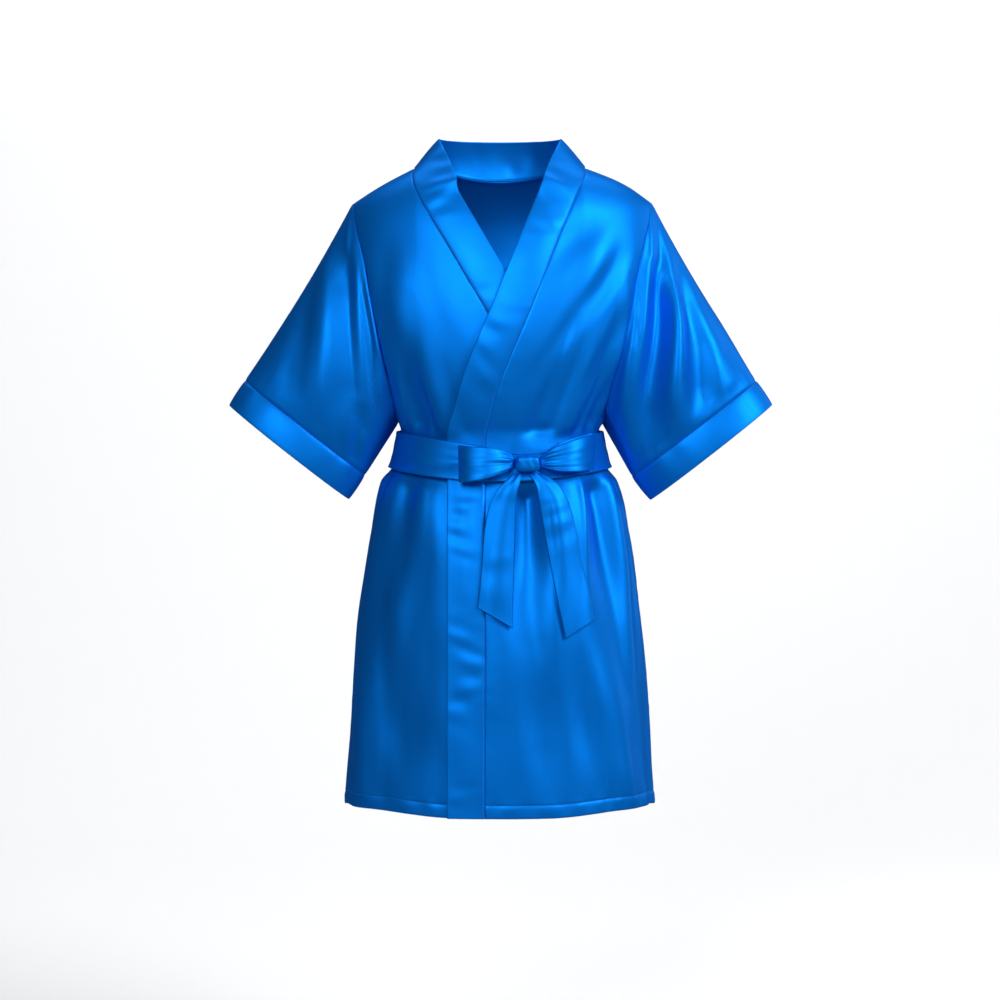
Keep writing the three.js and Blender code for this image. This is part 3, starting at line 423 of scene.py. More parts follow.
def body(turn, level, side):
    turn, level = np.broadcast_arrays(np.asarray(turn, float), np.asarray(level, float))
    z = between(LEVELS["z"], level)
    lift = fold_at(turn, z, girth_at(level)) + layer_at(turn, z, side)
    return bare(turn, level) + outward(turn, level) * lift[..., None]


def settle(points):
    """The right shoulder is broader and higher than the left one, and the hem lifts at the sides."""
    x, y, z = points[..., 0], points[..., 1], points[..., 2]
    out = np.abs(x)
    wider = ease((out - 105) / 60) * (1 - ease((-z - 190) / 120))
    higher = bump((out - 158) / 58) * np.exp(np.minimum(0, z) / 100)
    hem = ease((out - 60) / 110) * ease((-z - 640) / 188) * (1.8 + 4.4 * ease(-y / 45))
    right = x > 0
    return stack(x + np.where(right, 7.5, -2) * wider, y, z + np.where(right, 5, 1) * higher + hem)


# Mesh making


def placed(name, data):
    made = bpy.data.objects.new(name, data)
    bpy.context.scene.collection.objects.link(made)
    return made


def smooth_mesh(name, verts, faces):
    mesh = bpy.data.meshes.new(name)
    mesh.from_pydata(verts, [], faces)
    mesh.polygons.foreach_set("use_smooth", np.ones(len(mesh.polygons), bool))
    return mesh


def normals_of(points, round_way=False, flip=False):
    """Outward directions of a grid whose rows run down and whose columns run with the turn."""
    if round_way:
        across = np.roll(points, -1, axis=1) - np.roll(points, 1, axis=1)
    else:
        across = np.gradient(points, axis=1)
    return unit(np.cross(np.gradient(points, axis=0), across)) * (-1 if flip else 1)


def grid_faces(count_down, count_across, round_way):
    columns = count_across if round_way else count_across - 1
    i, j = np.meshgrid(np.arange(count_down - 1), np.arange(columns), indexing="ij")
    k = (j + 1) % count_across
    faces = np.stack([i * count_across + j, (i + 1) * count_across + j,
                      (i + 1) * count_across + k, i * count_across + k], axis=-1)
    return faces.reshape(-1, 4)


def cloth(name, points, wall, material, round_way=False, flip=False):
    """A closed sheet: the grid's outer and inner walls, and narrow faces round its free edges."""
    points = settle(points)
    down, across = points.shape[:2]
    facing = normals_of(points, round_way, flip)
    wall = np.broadcast_to(wall, points.shape[:2])[..., None]
    outer = points + facing * wall / 2
    inner = points - facing * wall / 2
    count = down * across
    front = grid_faces(down, across, round_way)
    behind = front[:, ::-1] + count
    ring = np.arange(across if round_way else across - 1)
    nxt = (ring + 1) % across
    base = (down - 1) * across
    edges = [(ring, nxt), (base + nxt, base + ring)]
    if not round_way:
        side = np.arange(down - 1) * across
        far = side + across - 1
        edges += [(side + across, side), (far, far + across)]
    rims = [np.stack([a, b, b + count, a + count], axis=-1) for a, b in edges]
    faces = np.concatenate([front, behind] + rims)
    if flip:
        faces = faces[:, ::-1]
    verts = np.concatenate([outer.reshape(-1, 3), inner.reshape(-1, 3)]) * MM
    mesh = smooth_mesh(name, verts.tolist(), faces.tolist())
    # the cloth's own measure across and down, in metres, for the weave
    u = run_of(points, 1)
    u = u - u.mean(axis=1, keepdims=True)
    v = run_of(points, 0)
    flat = np.stack([u.ravel(), v.ravel()], axis=-1) * MM
    flat = np.concatenate([flat, flat])
    layer = mesh.uv_layers.new(name="Cloth")
    corner = np.empty(len(mesh.loops), np.int32)
    mesh.loops.foreach_get("vertex_index", corner)
    layer.data.foreach_set("uv", flat[corner].ravel())
    made = placed(name, mesh)
    mesh.materials.append(material)
    mesh.validate()
    mesh.update()
    return made


def edge_dip(distance, deep=0.7, reach=2.6):
    """The shallow valley beside a seam."""
    return -deep * np.exp(-(distance / reach) ** 2)


def pucker(along, distance, seed, deep=0.8, pitch=15.0, reach=11.0):
    """Short waves where a seam draws the cloth in."""
    wave = np.sin(along * 2 * np.pi / pitch + 1.7 * np.sin(along / 41.0 + seed)) + 0.6 * np.sin(
        along * 2 * np.pi / (pitch * 0.61) + seed)
    now_and_then = ease(0.5 + 0.9 * np.sin(along / 37.0 + 2 * seed) + 0.5 * np.sin(along / 89.0 + seed))
    return deep * wave * now_and_then * np.exp(-distance / reach) * ease(distance / 2.0 + 0.25)


def spread(count, width, fine=(1.0, 2.0, 3.2, 5.0)):
    """Places from 0 to 1, closer together beside both edges of a piece of that width."""
    near = np.array(fine) / width
    return np.unique(np.concatenate([np.linspace(0, 1, count), near, 1 - near]))


def run_of(points, axis):
    """The length along a grid or a line, from its first row or column."""
    steps = np.linalg.norm(np.diff(points, axis=axis), axis=-1)
    start = np.zeros_like(np.take(steps, [0], axis=axis))
    return np.concatenate([start, np.cumsum(steps, axis=axis)], axis=axis)


def beside(points, axis):
    """How far each point of a grid is from its two edges."""
    run = run_of(points, axis)
    return run, np.take(run, [-1], axis=axis) - run


def level_rows(count):
    """Levels down the cloth, evenly spaced at the middle of the front and closer at the hem."""
    path = np.stack([between(LEVELS["front"], LEVEL_STEPS), LEVEL_HEIGHTS], axis=-1)
    length = run_of(path, 0)
    hem = length[-1] - np.array([1.2, 3, 14.2, 15.6, 16.6, 17.6, 19, 20.4])
    places = np.unique(np.concatenate([np.linspace(0, length[-1], count), hem]))
    return np.interp(places, length, LEVEL_STEPS)


ARM_TURNS = np.append(turn_of(LEVELS["arm"][:UNDERARM], np.arange(UNDERARM)), [90.0, 90.0])


def arm_turn(level):
    return np.where(level < UNDERARM, between(ARM_TURNS, np.minimum(level, UNDERARM)), 90.0)


def lifted(points, amount, round_way=False, flip=False):
    return points + normals_of(points, round_way, flip) * amount[..., None]


def hem_turning(from_hem, along, seed):
    """The turned hem: a shallow groove at its stitches, and the cloth a little fuller between."""
    groove = -0.55 * np.exp(-((from_hem - HEM_TURNED) / 1.3) ** 2)
    full = 0.5 * ease(from_hem / 2) * ease((16 - from_hem) / 5)
    waves = 0.55 * np.sin(along / 5.4 + 2 * np.sin(along / 31 + seed))
    waves = waves * np.exp(-((from_hem - 13) / 8) ** 2)
    return groove + full + waves


def front_grid(side):
    level = level_rows(236)[:, None]
    share = spread(104, 200)[None, :]
    key = "over" if side > 0 else "under"
    inner = turn_of(side * between(LEVELS[key], level), level)
    turn = mix(inner, side * arm_turn(level), share)
    if side < 0:
        turn = turn[:, ::-1]
    points = body(turn, level + 0 * turn, side)
    left, right = beside(points, 1)
    seam, outer = (left, right) if side > 0 else (right, left)
    down, up = beside(points, 0)
    amount = edge_dip(seam, 0.5, 1.8) + edge_dip(outer) + edge_dip(down, 0.6)
    amount = amount + pucker(down, seam, 2.0 + side, 0.14, 27, 14)
    amount = amount + pucker(down, outer, 5.0 + side, 0.2, 27, 9)
    amount = amount + hem_turning(up, left, side)
    return lifted(points, amount)


BACK_COLS = 40
SHOULDER_COLS = 12
NECK_COLS = 16


def back_turn(col, level, top_share):
    edge = 180 - arm_turn(level)
    even = mix(edge, 360 - edge, col / BACK_COLS)
    top = np.interp(col, [0, SHOULDER_COLS, SHOULDER_COLS + NECK_COLS, BACK_COLS],
                    [90, 180 - NECK_TURN, 180 + NECK_TURN, 270])
    return mix(top, even, ease(level * top_share / 6))


def back_level(row, col):
    off = (col - BACK_COLS / 2) / (NECK_COLS / 2)
    cut = np.clip(NECK_BACK * (1 - off * off), 0, None)
    return row + cut * np.clip(1 - row / 6, 0, 1) ** 2


def back_points(row, col):
    level = back_level(row, col)
    turn = back_turn(col, level, np.clip(row, 0, 1))
    return body(turn, level, 0)


def back_grid():
    row = np.unique(np.concatenate([level_rows(226), [0.14, 0.2, 0.26, 0.32, 0.38, 0.44, 0.5]]))[:, None]
    beside_seams = [0.1, 0.2, 0.35, 39.65, 39.8, 39.9]
    col = np.unique(np.concatenate([np.linspace(0, BACK_COLS, 181), beside_seams]))[None, :]
    points = back_points(row, col)
    left, right = beside(points, 1)
    down, up = beside(points, 0)
    amount = edge_dip(left) + edge_dip(right) + edge_dip(down, 0.6)
    neck = ease((8.6 - np.abs(col - BACK_COLS / 2)) / 0.8)
    amount = amount - 0.7 * neck * (1 - ease((down - 6.5) / 1.6)) * ease(down / 1.5)
    amount = amount + pucker(down, left, 1.0, 0.2, 27, 9) + pucker(down, right, 3.0, 0.2, 27, 9)
    amount = amount + hem_turning(up, left, 4)
    return lifted(points, amount)


def cuff_point(ovals, turn, side):
    lean = underneath(turn)
    top_x, top_z, low_x, low_z, deep, y = ovals[side]
    return stack(side * mix(top_x, low_x, lean), y - deep * np.sin(turn * DEG), mix(top_z, low_z, lean))


# Each cuff's two ends, by side: the top's x and z, the underside's x and z, half the depth and
# the middle's y.
CUFF_SEAM = {1: (330.5, -277.5, 172, -400, 44, -6), -1: (330, -276.5, 175.5, -398.6, 44, -6)}
CUFF_END = {1: (352.5, -307.5, 195.5, -430.5, 46, -8), -1: (350.5, -308.2, 196.5, -429.5, 46, -8)}


def armhole(side, count):
    """Points round an armhole, with the angle of each: 0 at the shoulder, 90 in front and 180 below."""
    angle = np.arange(count) * 360 / count
    steps = np.linspace(0, UNDERARM, 401)
    points = np.zeros((count, 3))
    for low, high, behind in ((0, 180, False), (180, 360, True)):
        def place(level):
            turn = 180 - arm_turn(level) if behind else arm_turn(level)
            return body(side * turn, level, 0)
        line = place(steps)
        length = run_of(line, 0)
        share = angle / 180 if not behind else (360 - angle) / 180
        here = (angle >= low) & (angle < high)
        points[here] = place(np.interp(share[here] * length[-1], length, steps))
    return points, angle


def underneath(turn):
    """0 at a sleeve's top and 1 at its underside."""
    return (1 - np.cos(turn * DEG)) / 2


def sleeve_fold(folds, turn, along):
    length = mix(SLEEVE_TOP, SLEEVE_BELOW, underneath(turn))
    total = np.zeros(np.broadcast(turn, along).shape)
    s = np.linspace(0, 1, 33)[:, None, None]
    for a0, v0, a1, v1, a2, v2, wide, deep in zip(*folds.values()):
        a = a0 * (1 - s) ** 2 + 2 * (2 * a1 - (a0 + a2) / 2) * s * (1 - s) + a2 * s * s
        v = v0 * (1 - s) ** 2 + 2 * (2 * v1 - (v0 + v2) / 2) * s * (1 - s) + v2 * s * s
        gap = np.hypot(turned_from(turn, a) * 1.4, (along - v) * length)
        near = gap.argmin(axis=0)
        at = s[:, 0, 0][near]
        share = ease(at / 0.3) * ease((1 - at) / 0.35)
        total += deep * share * bump(gap.min(axis=0) / wide)
    return total


def sleeve_gathers(angle, v, seed):
    """Small pleats at the cuff's seam and beside the armhole."""
    chance = np.random.default_rng(seed)
    total = np.zeros(np.broadcast(angle, v).shape)

    def pleats(count, apart, shift, *ranges):
        at = np.arange(count) * apart + chance.uniform(-shift, shift, count)
        return list(zip(at, *(chance.uniform(low, high, count) for low, high in ranges)))

    for at, deep, wide, reach in pleats(26, 13.8, 4, (0.1, 0.6), (4, 7), (0.08, 0.3)):
        sign = 1 if chance.random() < 0.5 else -1
        lean = chance.uniform(-20, 20)
        off = turned_from(angle, at + lean * (1 - v))
        total += sign * deep * bump(off * 1.3 / (wide * (1 + 2 * (1 - v)))) * np.exp(-(1 - v) / reach)
    for at, deep, wide, reach in pleats(20, 18, 5, (0.1, 0.4), (4, 8), (0.05, 0.2)):
        sign = 1 if chance.random() < 0.5 else -1
        off = turned_from(angle, at)
        total += sign * deep * bump(off * 1.4 / (wide * (1 + 2 * v))) * np.exp(-v / reach)
    return total


# Long folds that hang from the shoulder over a sleeve's front, in the front view: from x0, z0 to x1, z1.
HANGING = {
    1: rows("x0 z0 x1 z1 w0 w1 deep", [
        (200, -84, 182, -392, 11, 21, -13),
        (206, -76, 232, -365, 9, 22, 6.5),
        (219, -110, 270, -340, 11, 24, -6.5),
        (240, -165, 305, -310, 10, 20, 2.5),
        (186, -60, 189, -130, 4, 5, 2.2),
        (194, -62, 206, -140, 4, 6, -2.0),
        (165, -205, 155, -340, 7, 12, 3.5),
    ]),
    -1: rows("x0 z0 x1 z1 w0 w1 deep", [
        (199, -80, 187, -350, 11, 21, -9.5),
        (176, -300, 186, -398, 15, 12, -4.0),
        (220, -90, 236, -340, 12, 26, 3.0),
        (238, -130, 276, -310, 11, 22, -2.4),
        (157, -170, 153, -320, 5, 8, 3.0),
        (172, -335, 188, -405, 7, 10, 3.0),
        (192, -58, 197, -120, 4, 5, 1.6),
    ]),
}


def sleeve_drape(points, angle, side):
    """The hanging folds: a sleeve's back takes those of the other sleeve's front."""
    x = np.abs(points[..., 0])
    z = points[..., 2]
    total = np.zeros(x.shape)
    for table, share in ((HANGING[side], ease(np.sin(angle * DEG) / 0.35)),
                         (HANGING[-side], ease(-np.sin(angle * DEG) / 0.35))):
        for x0, z0, x1, z1, w0, w1, deep in zip(*table.values()):
            long = math.hypot(x1 - x0, z1 - z0)
            s = ((x - x0) * (x1 - x0) + (z - z0) * (z1 - z0)) / long ** 2
            away = ((x - x0) * (z1 - z0) - (z - z0) * (x1 - x0)) / long
            wide = np.where((away < 0) & (deep < -8), 2.2, 1.25)
            width = mix(w0, w1, np.clip(s, 0, 1)) * wide
            total += share * deep * ease(s / 0.3) * ease((1 - s) / 0.25) * bump(away / width)
    return total


def sleeve_grid(side, folds):
    hole, angle = armhole(side, SLEEVE_ROUND)
    v = spread(108, 200)[:, None]
    belly = 9 * np.sin(np.pi * v) * np.sin(angle * DEG)
    smooth = mix(hole[None], cuff_point(CUFF_SEAM, angle, side)[None], v[..., None])
    smooth = smooth - belly[..., None] * np.array([0, 1, 0])
    fold = sleeve_fold(folds, angle[None, :], v)
    ends = ease(v / 0.07) * ease((1 - v) / 0.12)
    long = mix(SLEEVE_TOP, SLEEVE_BELOW, underneath(angle))
    sag = -4.5 * np.sin(np.pi * v) * bump(np.minimum(angle, 360 - angle) / 60)
    drape = sleeve_drape(smooth, angle, side) * ease((1 - v) / 0.1) * ease((v + 0.01) / 0.05)
    fold = 0.35 * fold * ends + drape
    amount = sag + fold + sleeve_gathers(angle[None, :], v, 31 + side) * ease((v + 0.02) / 0.05)
    amount = amount + edge_dip(v * long, 0.6) + edge_dip((1 - v) * long, 0.8)
    return lifted(smooth, amount, True, side > 0)


def cuff_grid(side):
    angle = np.arange(SLEEVE_ROUND) * 360 / SLEEVE_ROUND
    v = spread(12, CUFF_LONG, (1.0, 2.2))[:, None]
    seam = cuff_point(CUFF_SEAM, angle, side)[None]
    end = cuff_point(CUFF_END, angle, side)[None]
    points = mix(seam, end, v[..., None])
    wave = 0.5 * np.sin(angle * DEG * 11 + 2 * np.sin(angle * DEG * 3 + side)) * (1 - v)
    amount = 0.9 * np.sin(np.pi * v) + wave + edge_dip(v * CUFF_LONG, 0.7)
    amount = amount + edge_dip((1 - v) * CUFF_LONG, 0.3, 1.5)
    return lifted(points, amount, True, side > 0)


# The neckband, along the lower front, round the neck and down the upper front.


def band_line(side, level, share):
    key = "over" if side > 0 else "under"
    column = LEVELS[key]
    inner = side * between(column, level)
    seam_turn = turn_of(inner, level)
    seam = body(seam_turn, level, side)
    up = np.maximum(level - 1, 3)
    low = np.minimum(level + 1, HEM)
    run_x = side * (between(column, low) - between(column, up))
    run_z = between(LEVELS["z"], low) - between(LEVELS["z"], up)
    run = np.maximum(np.hypot(run_x, run_z), 1e-6)
    flat = bare(seam_turn, level)
    x = flat[..., 0] + share * BAND_WIDE * run_z / run * side
    z = between(LEVELS["z"], level) - share * BAND_WIDE * run_x / run * side
    where = level_of(np.maximum(z, LEVELS["z"][-1]))
    low_part = body(turn_of(x, where), where, side)
    top = np.clip(level, 0, 4)
    longer = [np.append(NECK_EDGE[k], 2 * NECK_EDGE[k][-1] - NECK_EDGE[k][-2]) for k in "xyz"]
    neck = [between(column, top) for column in longer]
    edge = stack(side * neck[0], neck[1], neck[2])
    high_part = mix(seam, edge, share[..., None])
    return mix(high_part, low_part, ease(level - 3)[..., None])


def band_grid():
    share = np.unique(np.concatenate([np.linspace(0, 1, 13), [0.02, 0.05, 0.95, 0.98]]))[None, :]
    level = level_rows(250)[:, None]
    low, share_low = np.broadcast_arrays(level, share)
    under = band_line(-1, low[::-1], share_low)
    over = band_line(1, low, share_low)
    col = np.linspace(SHOULDER_COLS + NECK_COLS, SHOULDER_COLS, 66)[1:-1, None]
    seam = back_points(0 * col, col)
    around = np.pi * (SHOULDER_COLS + NECK_COLS - col) / NECK_COLS
    edge = stack(-NECK_WIDE * np.cos(around), NECK_Y + NECK_DEEP * np.sin(around), NECK_TOP)
    behind = mix(seam, edge, share[..., None])
    behind = behind + (2.5 * np.sin(around) * np.sin(np.pi * share))[..., None] * np.array([0, 1, 0])
    points = np.concatenate([under, behind, over])
    along, rest = beside(points, 0)
    seam_side, free_side = beside(points, 1)
    plump = 0.9 * np.sin(np.pi * share)
    long = along[:, :1]
    across = 0.75 * np.sin(long / 4.9 + 2.2 * np.sin(long / 71 + 0.6) + 1.8 * share)
    across = across * ease(0.65 + 0.6 * np.sin(long / 33 + 1.0)) * ease(rest / 40) * ease(along / 40)
    across = across * np.exp(-((share - 0.55 - 0.25 * np.sin(long / 19)) / 0.3) ** 2)
    amount = plump + across + pucker(long + 0 * share, seam_side, 4.0, 0.12, 27, 14)
    lap = 1.8 * ease((long - long[-1:] * 0.72) / 90) * np.exp(-free_side / 9)
    amount = amount + edge_dip(seam_side, 0.7, 1.8) + edge_dip(free_side, 0.4, 1.2) + lap
    amount = amount + 0.7 * ease(seam_side / 2.5)
    return lifted(points, amount, flip=True)


# The belt


def belt_out(turn):
    lap = np.where(turn >= 0, 1 - ease((turn - 35) / 40), 1 - ease((-turn - 30) / 30))
    return BELT_OUT + OVER_OUT * lap


def belt_grid():
    turn = np.arange(420)[None, :] * 360 / 420 - 180
    share = spread(18, BELT_TALL, (0.8, 1.8))[:, None]
    near = np.exp(-((turned_from(turn, 14) * DEG * 100 / 36) ** 2))
    even = belt_mid(turn) + BELT_TALL * (0.5 - share)
    level = level_of(mix(even, KNOT_Z + 18 * (0.5 - share), 0.9 * near * (1 - share) ** 1.5))
    points = bare(turn, level) + outward(turn, level) * belt_out(turn)[..., None]
    a = turn * DEG
    wave = 0.9 * np.sin(7.5 * share + a * 5 + 1.4 * np.sin(a * 7)) * np.sin(a * 9 + 4 * share)
    fine = 0.5 * np.sin(17 * share + a * 11 + 2 * np.sin(a * 4))
    from_knot = np.abs(turned_from(turn, 13)) * DEG * 95
    draw = np.exp(-np.clip(from_knot - 16, 0, None) / 34)
    fan = 1.6 * np.sin(share * 2 * np.pi * 3.2 + 0.6) * draw
    edges = np.sin(np.pi * share) ** 0.35
    amount = (wave * 0.3 + 0.3 * fine + 0.7 * fan + 0.9) * edges
    return points + outward(turn, level) * amount[..., None]


def loop_grid(table, seed):
    rows_at = np.linspace(0, len(table["x"]) - 1, 96)[:, None]
    off = np.linspace(-1, 1, 29)[None, :]
    x, z, rise, tall = (between(table[k], rows_at) for k in ("x", "z", "rise", "tall"))
    level = level_of(z - off * tall * 0.5)
    turn = turn_of(x + 0 * off, level)
    out = unit(outward(turn, level) * np.array([1, 1, 0]))
    half = (len(table["x"]) - 1) / 2
    crown = np.where(rows_at < half, -2.5 * ease((half - rows_at) / 0.8), 0) * off * off
    points = bare(turn, level) + outward(turn, level) * belt_out(turn)[..., None]
    points = points + out * (rise + crown)[..., None]
    run = run_of(points, 0)
    whole = run[-1:, :]
    near = np.minimum(run, whole - run)
    draw = np.exp(-np.clip(near - 6, 0, None) / 26) * ease(near / 8)
    fan = 0.9 * np.sin(off * np.pi * 2.3 + seed) + 0.6 * np.sin(off * np.pi * 4.1 + 2 * seed)
    soft = 0.35 * np.sin(run / 13 + 2.5 * off + seed) * np.sin(2 * off + run / 29)
    amount = fan * draw + soft * ease(near / 14)
    return lifted(points, amount, flip=table["x"][0] > table["x"][1])


def tail_grid(table, seed):
    last = len(table["x0"]) - 1
    rows_at = np.linspace(0, last, 110)[:, None]
    share = np.linspace(0, 1, 25)[None, :]
    x0, z0, x1, z1, rise = (between(table[k], rows_at) for k in ("x0", "z0", "x1", "z1", "rise"))
    x = mix(x0, x1, share)
    z = mix(z0, z1, share)
    level = level_of(z)
    turn = turn_of(x, level)
    here = between(LEVELS["z"], level)
    fold = fold_at(turn, here, girth_at(level)) * ease((rows_at - 1) / 3)
    crease = 1.6 * np.sin(share * np.pi) * ease(rows_at / 2)
    fan = 1.1 * np.sin(share * np.pi * 3.6 + seed) * np.exp(-rows_at / 1.3)
    soft = 0.5 * np.sin(share * 5.2 + rows_at * 0.9 + seed) * ease(rows_at / 2)
    waves = 0.5 * np.sin(rows_at * 5.2 + 2 * np.sin(rows_at * 1.3 + seed) + 1.5 * share)
    waves = waves * ease((rows_at - 2.2) / 1.5) * ease(0.5 + np.sin(rows_at * 1.1 + 2 * seed))
    soft = soft + waves * np.sin(np.pi * share) ** 0.5
    off = layer_at(turn, here, 1) + np.where(fold > 0, fold, 0.4 * fold) + rise + crease + fan + soft
    return bare(turn, level) + outward(turn, level) * off[..., None]


def knot_grid():
    level = level_of(KNOT_Z)
    turn = turn_of(KNOT_X, level)
    out = unit(outward(turn, level) * np.array([1, 1, 0]))
    centre = bare(turn, level) + out * (belt_out(turn) + 12.8)
    across = np.array([-out[1], out[0], 0.0])
    up = np.array([0.0, 0.0, 1.0])
    polar = np.linspace(0.06, np.pi - 0.06, 40)[:, None]
    around = np.arange(64)[None, :] * 2 * np.pi / 64
    x = np.sin(polar) * np.cos(around)
    y = np.sin(polar) * np.sin(around)
    z = np.cos(polar) + 0 * around
    k = (np.abs(x) ** 5 + np.abs(y) ** 4 + np.abs(z) ** 4) ** -0.22
    pleat = 0.035 * np.sin(11 * x + 1.2 * np.sin(3 * z) + 0.4) * (1 - z * z)
    k = k * (1 + pleat)
    return (centre + (x * k * 15.2)[..., None] * across + (z * k * 10.0)[..., None] * up
            - (y * k * 9.25)[..., None] * -out)


# Materials


def group(name, outputs, inputs=()):
    made = bpy.data.node_groups.new(name, "ShaderNodeTree")
    for label, kind, value in inputs:
        socket = made.interface.new_socket(label, in_out="INPUT", socket_type=kind)
        if value is not None:
            socket.default_value = value
    for label, kind in outputs:
        made.interface.new_socket(label, in_out="OUTPUT", socket_type=kind)
    return made, made.nodes.new("NodeGroupInput"), made.nodes.new("NodeGroupOutput")


def give(node, values):
    for label, value in values.items():
        node.inputs[label].default_value = value


def noise(tree, vector, scale, detail, rough, distort=0.0):
    node = tree.nodes.new("ShaderNodeTexNoise")
    give(node, {"Scale": scale, "Detail": detail, "Roughness": rough, "Distortion": distort})
    tree.links.new(vector, node.inputs["Vector"])
    return node.outputs["Fac"]


def math_node(tree, kind, a, b=None):
    node = tree.nodes.new("ShaderNodeMath")
    node.operation = kind
    for k, value in enumerate((a, b)):
        if value is None:
            continue
        if isinstance(value, (int, float)):
            node.inputs[k].default_value = value
        else:
            tree.links.new(value, node.inputs[k])
    return node.outputs[0]


def stretched(tree, vector, scale):
    node = tree.nodes.new("ShaderNodeMapping")
    node.inputs["Scale"].default_value = scale
    tree.links.new(vector, node.inputs["Vector"])
    return node.outputs[0]


def soft_creases():
    """Shallow wrinkles and dimples of pressed satin, as a height from 0 to 1."""
    tree, entry, out = group(
        "Soft creases",
        [("Height", "NodeSocketFloat")],
        [("Vector", "NodeSocketVector", None)],
    )
    vector = entry.outputs["Vector"]
    broad = noise(tree, stretched(tree, vector, (1.6, 0.8, 1)), 9, 1.5, 0.45, 0.5)
    small = noise(tree, stretched(tree, vector, (1.4, 1, 1)), 31, 2, 0.5, 0.6)
    broad = math_node(tree, "MULTIPLY", broad, 0.78)
    small = math_node(tree, "MULTIPLY", small, 0.22)
    total = math_node(tree, "ADD", broad, small)
    tree.links.new(total, out.inputs["Height"])
    return tree


def satin_weave():
    """The long floats of a satin: fine streaks along the cloth, as a height and a roughness."""
    tree, entry, out = group(
        "Satin weave",
        [("Height", "NodeSocketFloat"), ("Roughness", "NodeSocketFloat")],
        [("Vector", "NodeSocketVector", None), ("Roughness", "NodeSocketFloat", 0.36)],
    )
    vector = entry.outputs["Vector"]
    floats = noise(tree, stretched(tree, vector, (1, 0.12, 1)), 1900, 1, 0.5)
    slubs = noise(tree, stretched(tree, vector, (1, 0.2, 1)), 160, 2, 0.5)
    tree.links.new(floats, out.inputs["Height"])
    shift = math_node(tree, "MULTIPLY", math_node(tree, "SUBTRACT", slubs, 0.5), 0.09)
    tree.links.new(math_node(tree, "ADD", entry.outputs["Roughness"], shift), out.inputs["Roughness"])
    return tree


def satin(name, colour, creases, weave, wrinkle=0.0004, rough=0.48):
    material = bpy.data.materials.new(name)
    material.use_nodes = True
    tree = material.node_tree
    shader = tree.nodes["Principled BSDF"]
    where = tree.nodes.new("ShaderNodeUVMap")
    where.uv_map = "Cloth"
    threads = tree.nodes.new("ShaderNodeGroup")
    threads.node_tree = weave
    threads.inputs["Roughness"].default_value = rough
    wrinkles = tree.nodes.new("ShaderNodeGroup")
    wrinkles.node_tree = creases
    for node in (threads, wrinkles):
        tree.links.new(where.outputs["UV"], node.inputs["Vector"])
    coarse = tree.nodes.new("ShaderNodeBump")
    give(coarse, {"Strength": 1.0, "Distance": wrinkle})
    tree.links.new(wrinkles.outputs["Height"], coarse.inputs["Height"])
    fine = tree.nodes.new("ShaderNodeBump")
    give(fine, {"Strength": 0.16, "Distance": 0.00006})
    tree.links.new(threads.outputs["Height"], fine.inputs["Height"])
    tree.links.new(coarse.outputs["Normal"], fine.inputs["Normal"])
    tree.links.new(fine.outputs["Normal"], shader.inputs["Normal"])
    tree.links.new(threads.outputs["Roughness"], shader.inputs["Roughness"])
    give(shader, {"Base Color": (*colour, 1), "Metallic": 0.7})
    give(shader, {"Specular IOR Level": 0.15, "Specular Tint": (0.1, 0.55, 1, 1)})
    return material


def plain(name, colour, rough=0.7, glow=0.0):
    material = bpy.data.materials.new(name)
    material.use_nodes = True
    shader = material.node_tree.nodes["Principled BSDF"]
    give(shader, {"Base Color": (*colour, 1), "Roughness": rough})
    give(shader, {"Emission Color": (*colour, 1), "Emission Strength": glow})
    return material


CREASES_MAP = soft_creases()
WEAVE_MAP = satin_weave()
BLUE = (0.0015, 0.19, 0.74)
body_satin = satin("Blue satin", BLUE, CREASES_MAP, WEAVE_MAP)
band_satin = satin("Blue satin, doubled", BLUE, CREASES_MAP, WEAVE_MAP, 0.0006)
thread = plain("Blue thread", (0.002, 0.2, 0.7), 0.45)

# The garment

WALL = 1.0
DOUBLED = 1.8
over = front_grid(1)
under = front_grid(-1)
behind = back_grid()
right_grid = sleeve_grid(1, SLEEVE_FOLDS_RIGHT)
left_grid = sleeve_grid(-1, SLEEVE_FOLDS_LEFT)
cloth_pieces = {
    "front_over": cloth("Front_upper", over, WALL, body_satin),
    "front_under": cloth("Front_under", under, WALL, body_satin),
    "back": cloth("Back", behind, WALL, body_satin),
    "sleeve_right": cloth("Sleeve_right", right_grid, WALL, body_satin, True, True),
    "sleeve_left": cloth("Sleeve_left", left_grid, WALL, body_satin, True),
    "cuff_right": cloth("Cuff_right", cuff_grid(1), DOUBLED, band_satin, True, True),
    "cuff_left": cloth("Cuff_left", cuff_grid(-1), DOUBLED, band_satin, True),
    "neckband": cloth("Neckband", band_grid(), DOUBLED, band_satin, flip=True),
    "belt_wrap": cloth("Belt_wrap", belt_grid(), DOUBLED, band_satin, True),
    "belt_loop_left": cloth("Bow_loop_left", loop_grid(LOOP_LEFT, 0.4), 1.4, band_satin, flip=True),
    "belt_loop_right": cloth("Bow_loop_right", loop_grid(LOOP_RIGHT, 1.9), 1.4, band_satin),
    "belt_tail_left": cloth("Belt_end_left", tail_grid(TAIL_LEFT, 0.5), DOUBLED, band_satin),
    "belt_tail_right": cloth("Belt_end_right", tail_grid(TAIL_RIGHT, 2.2), DOUBLED, band_satin),
}


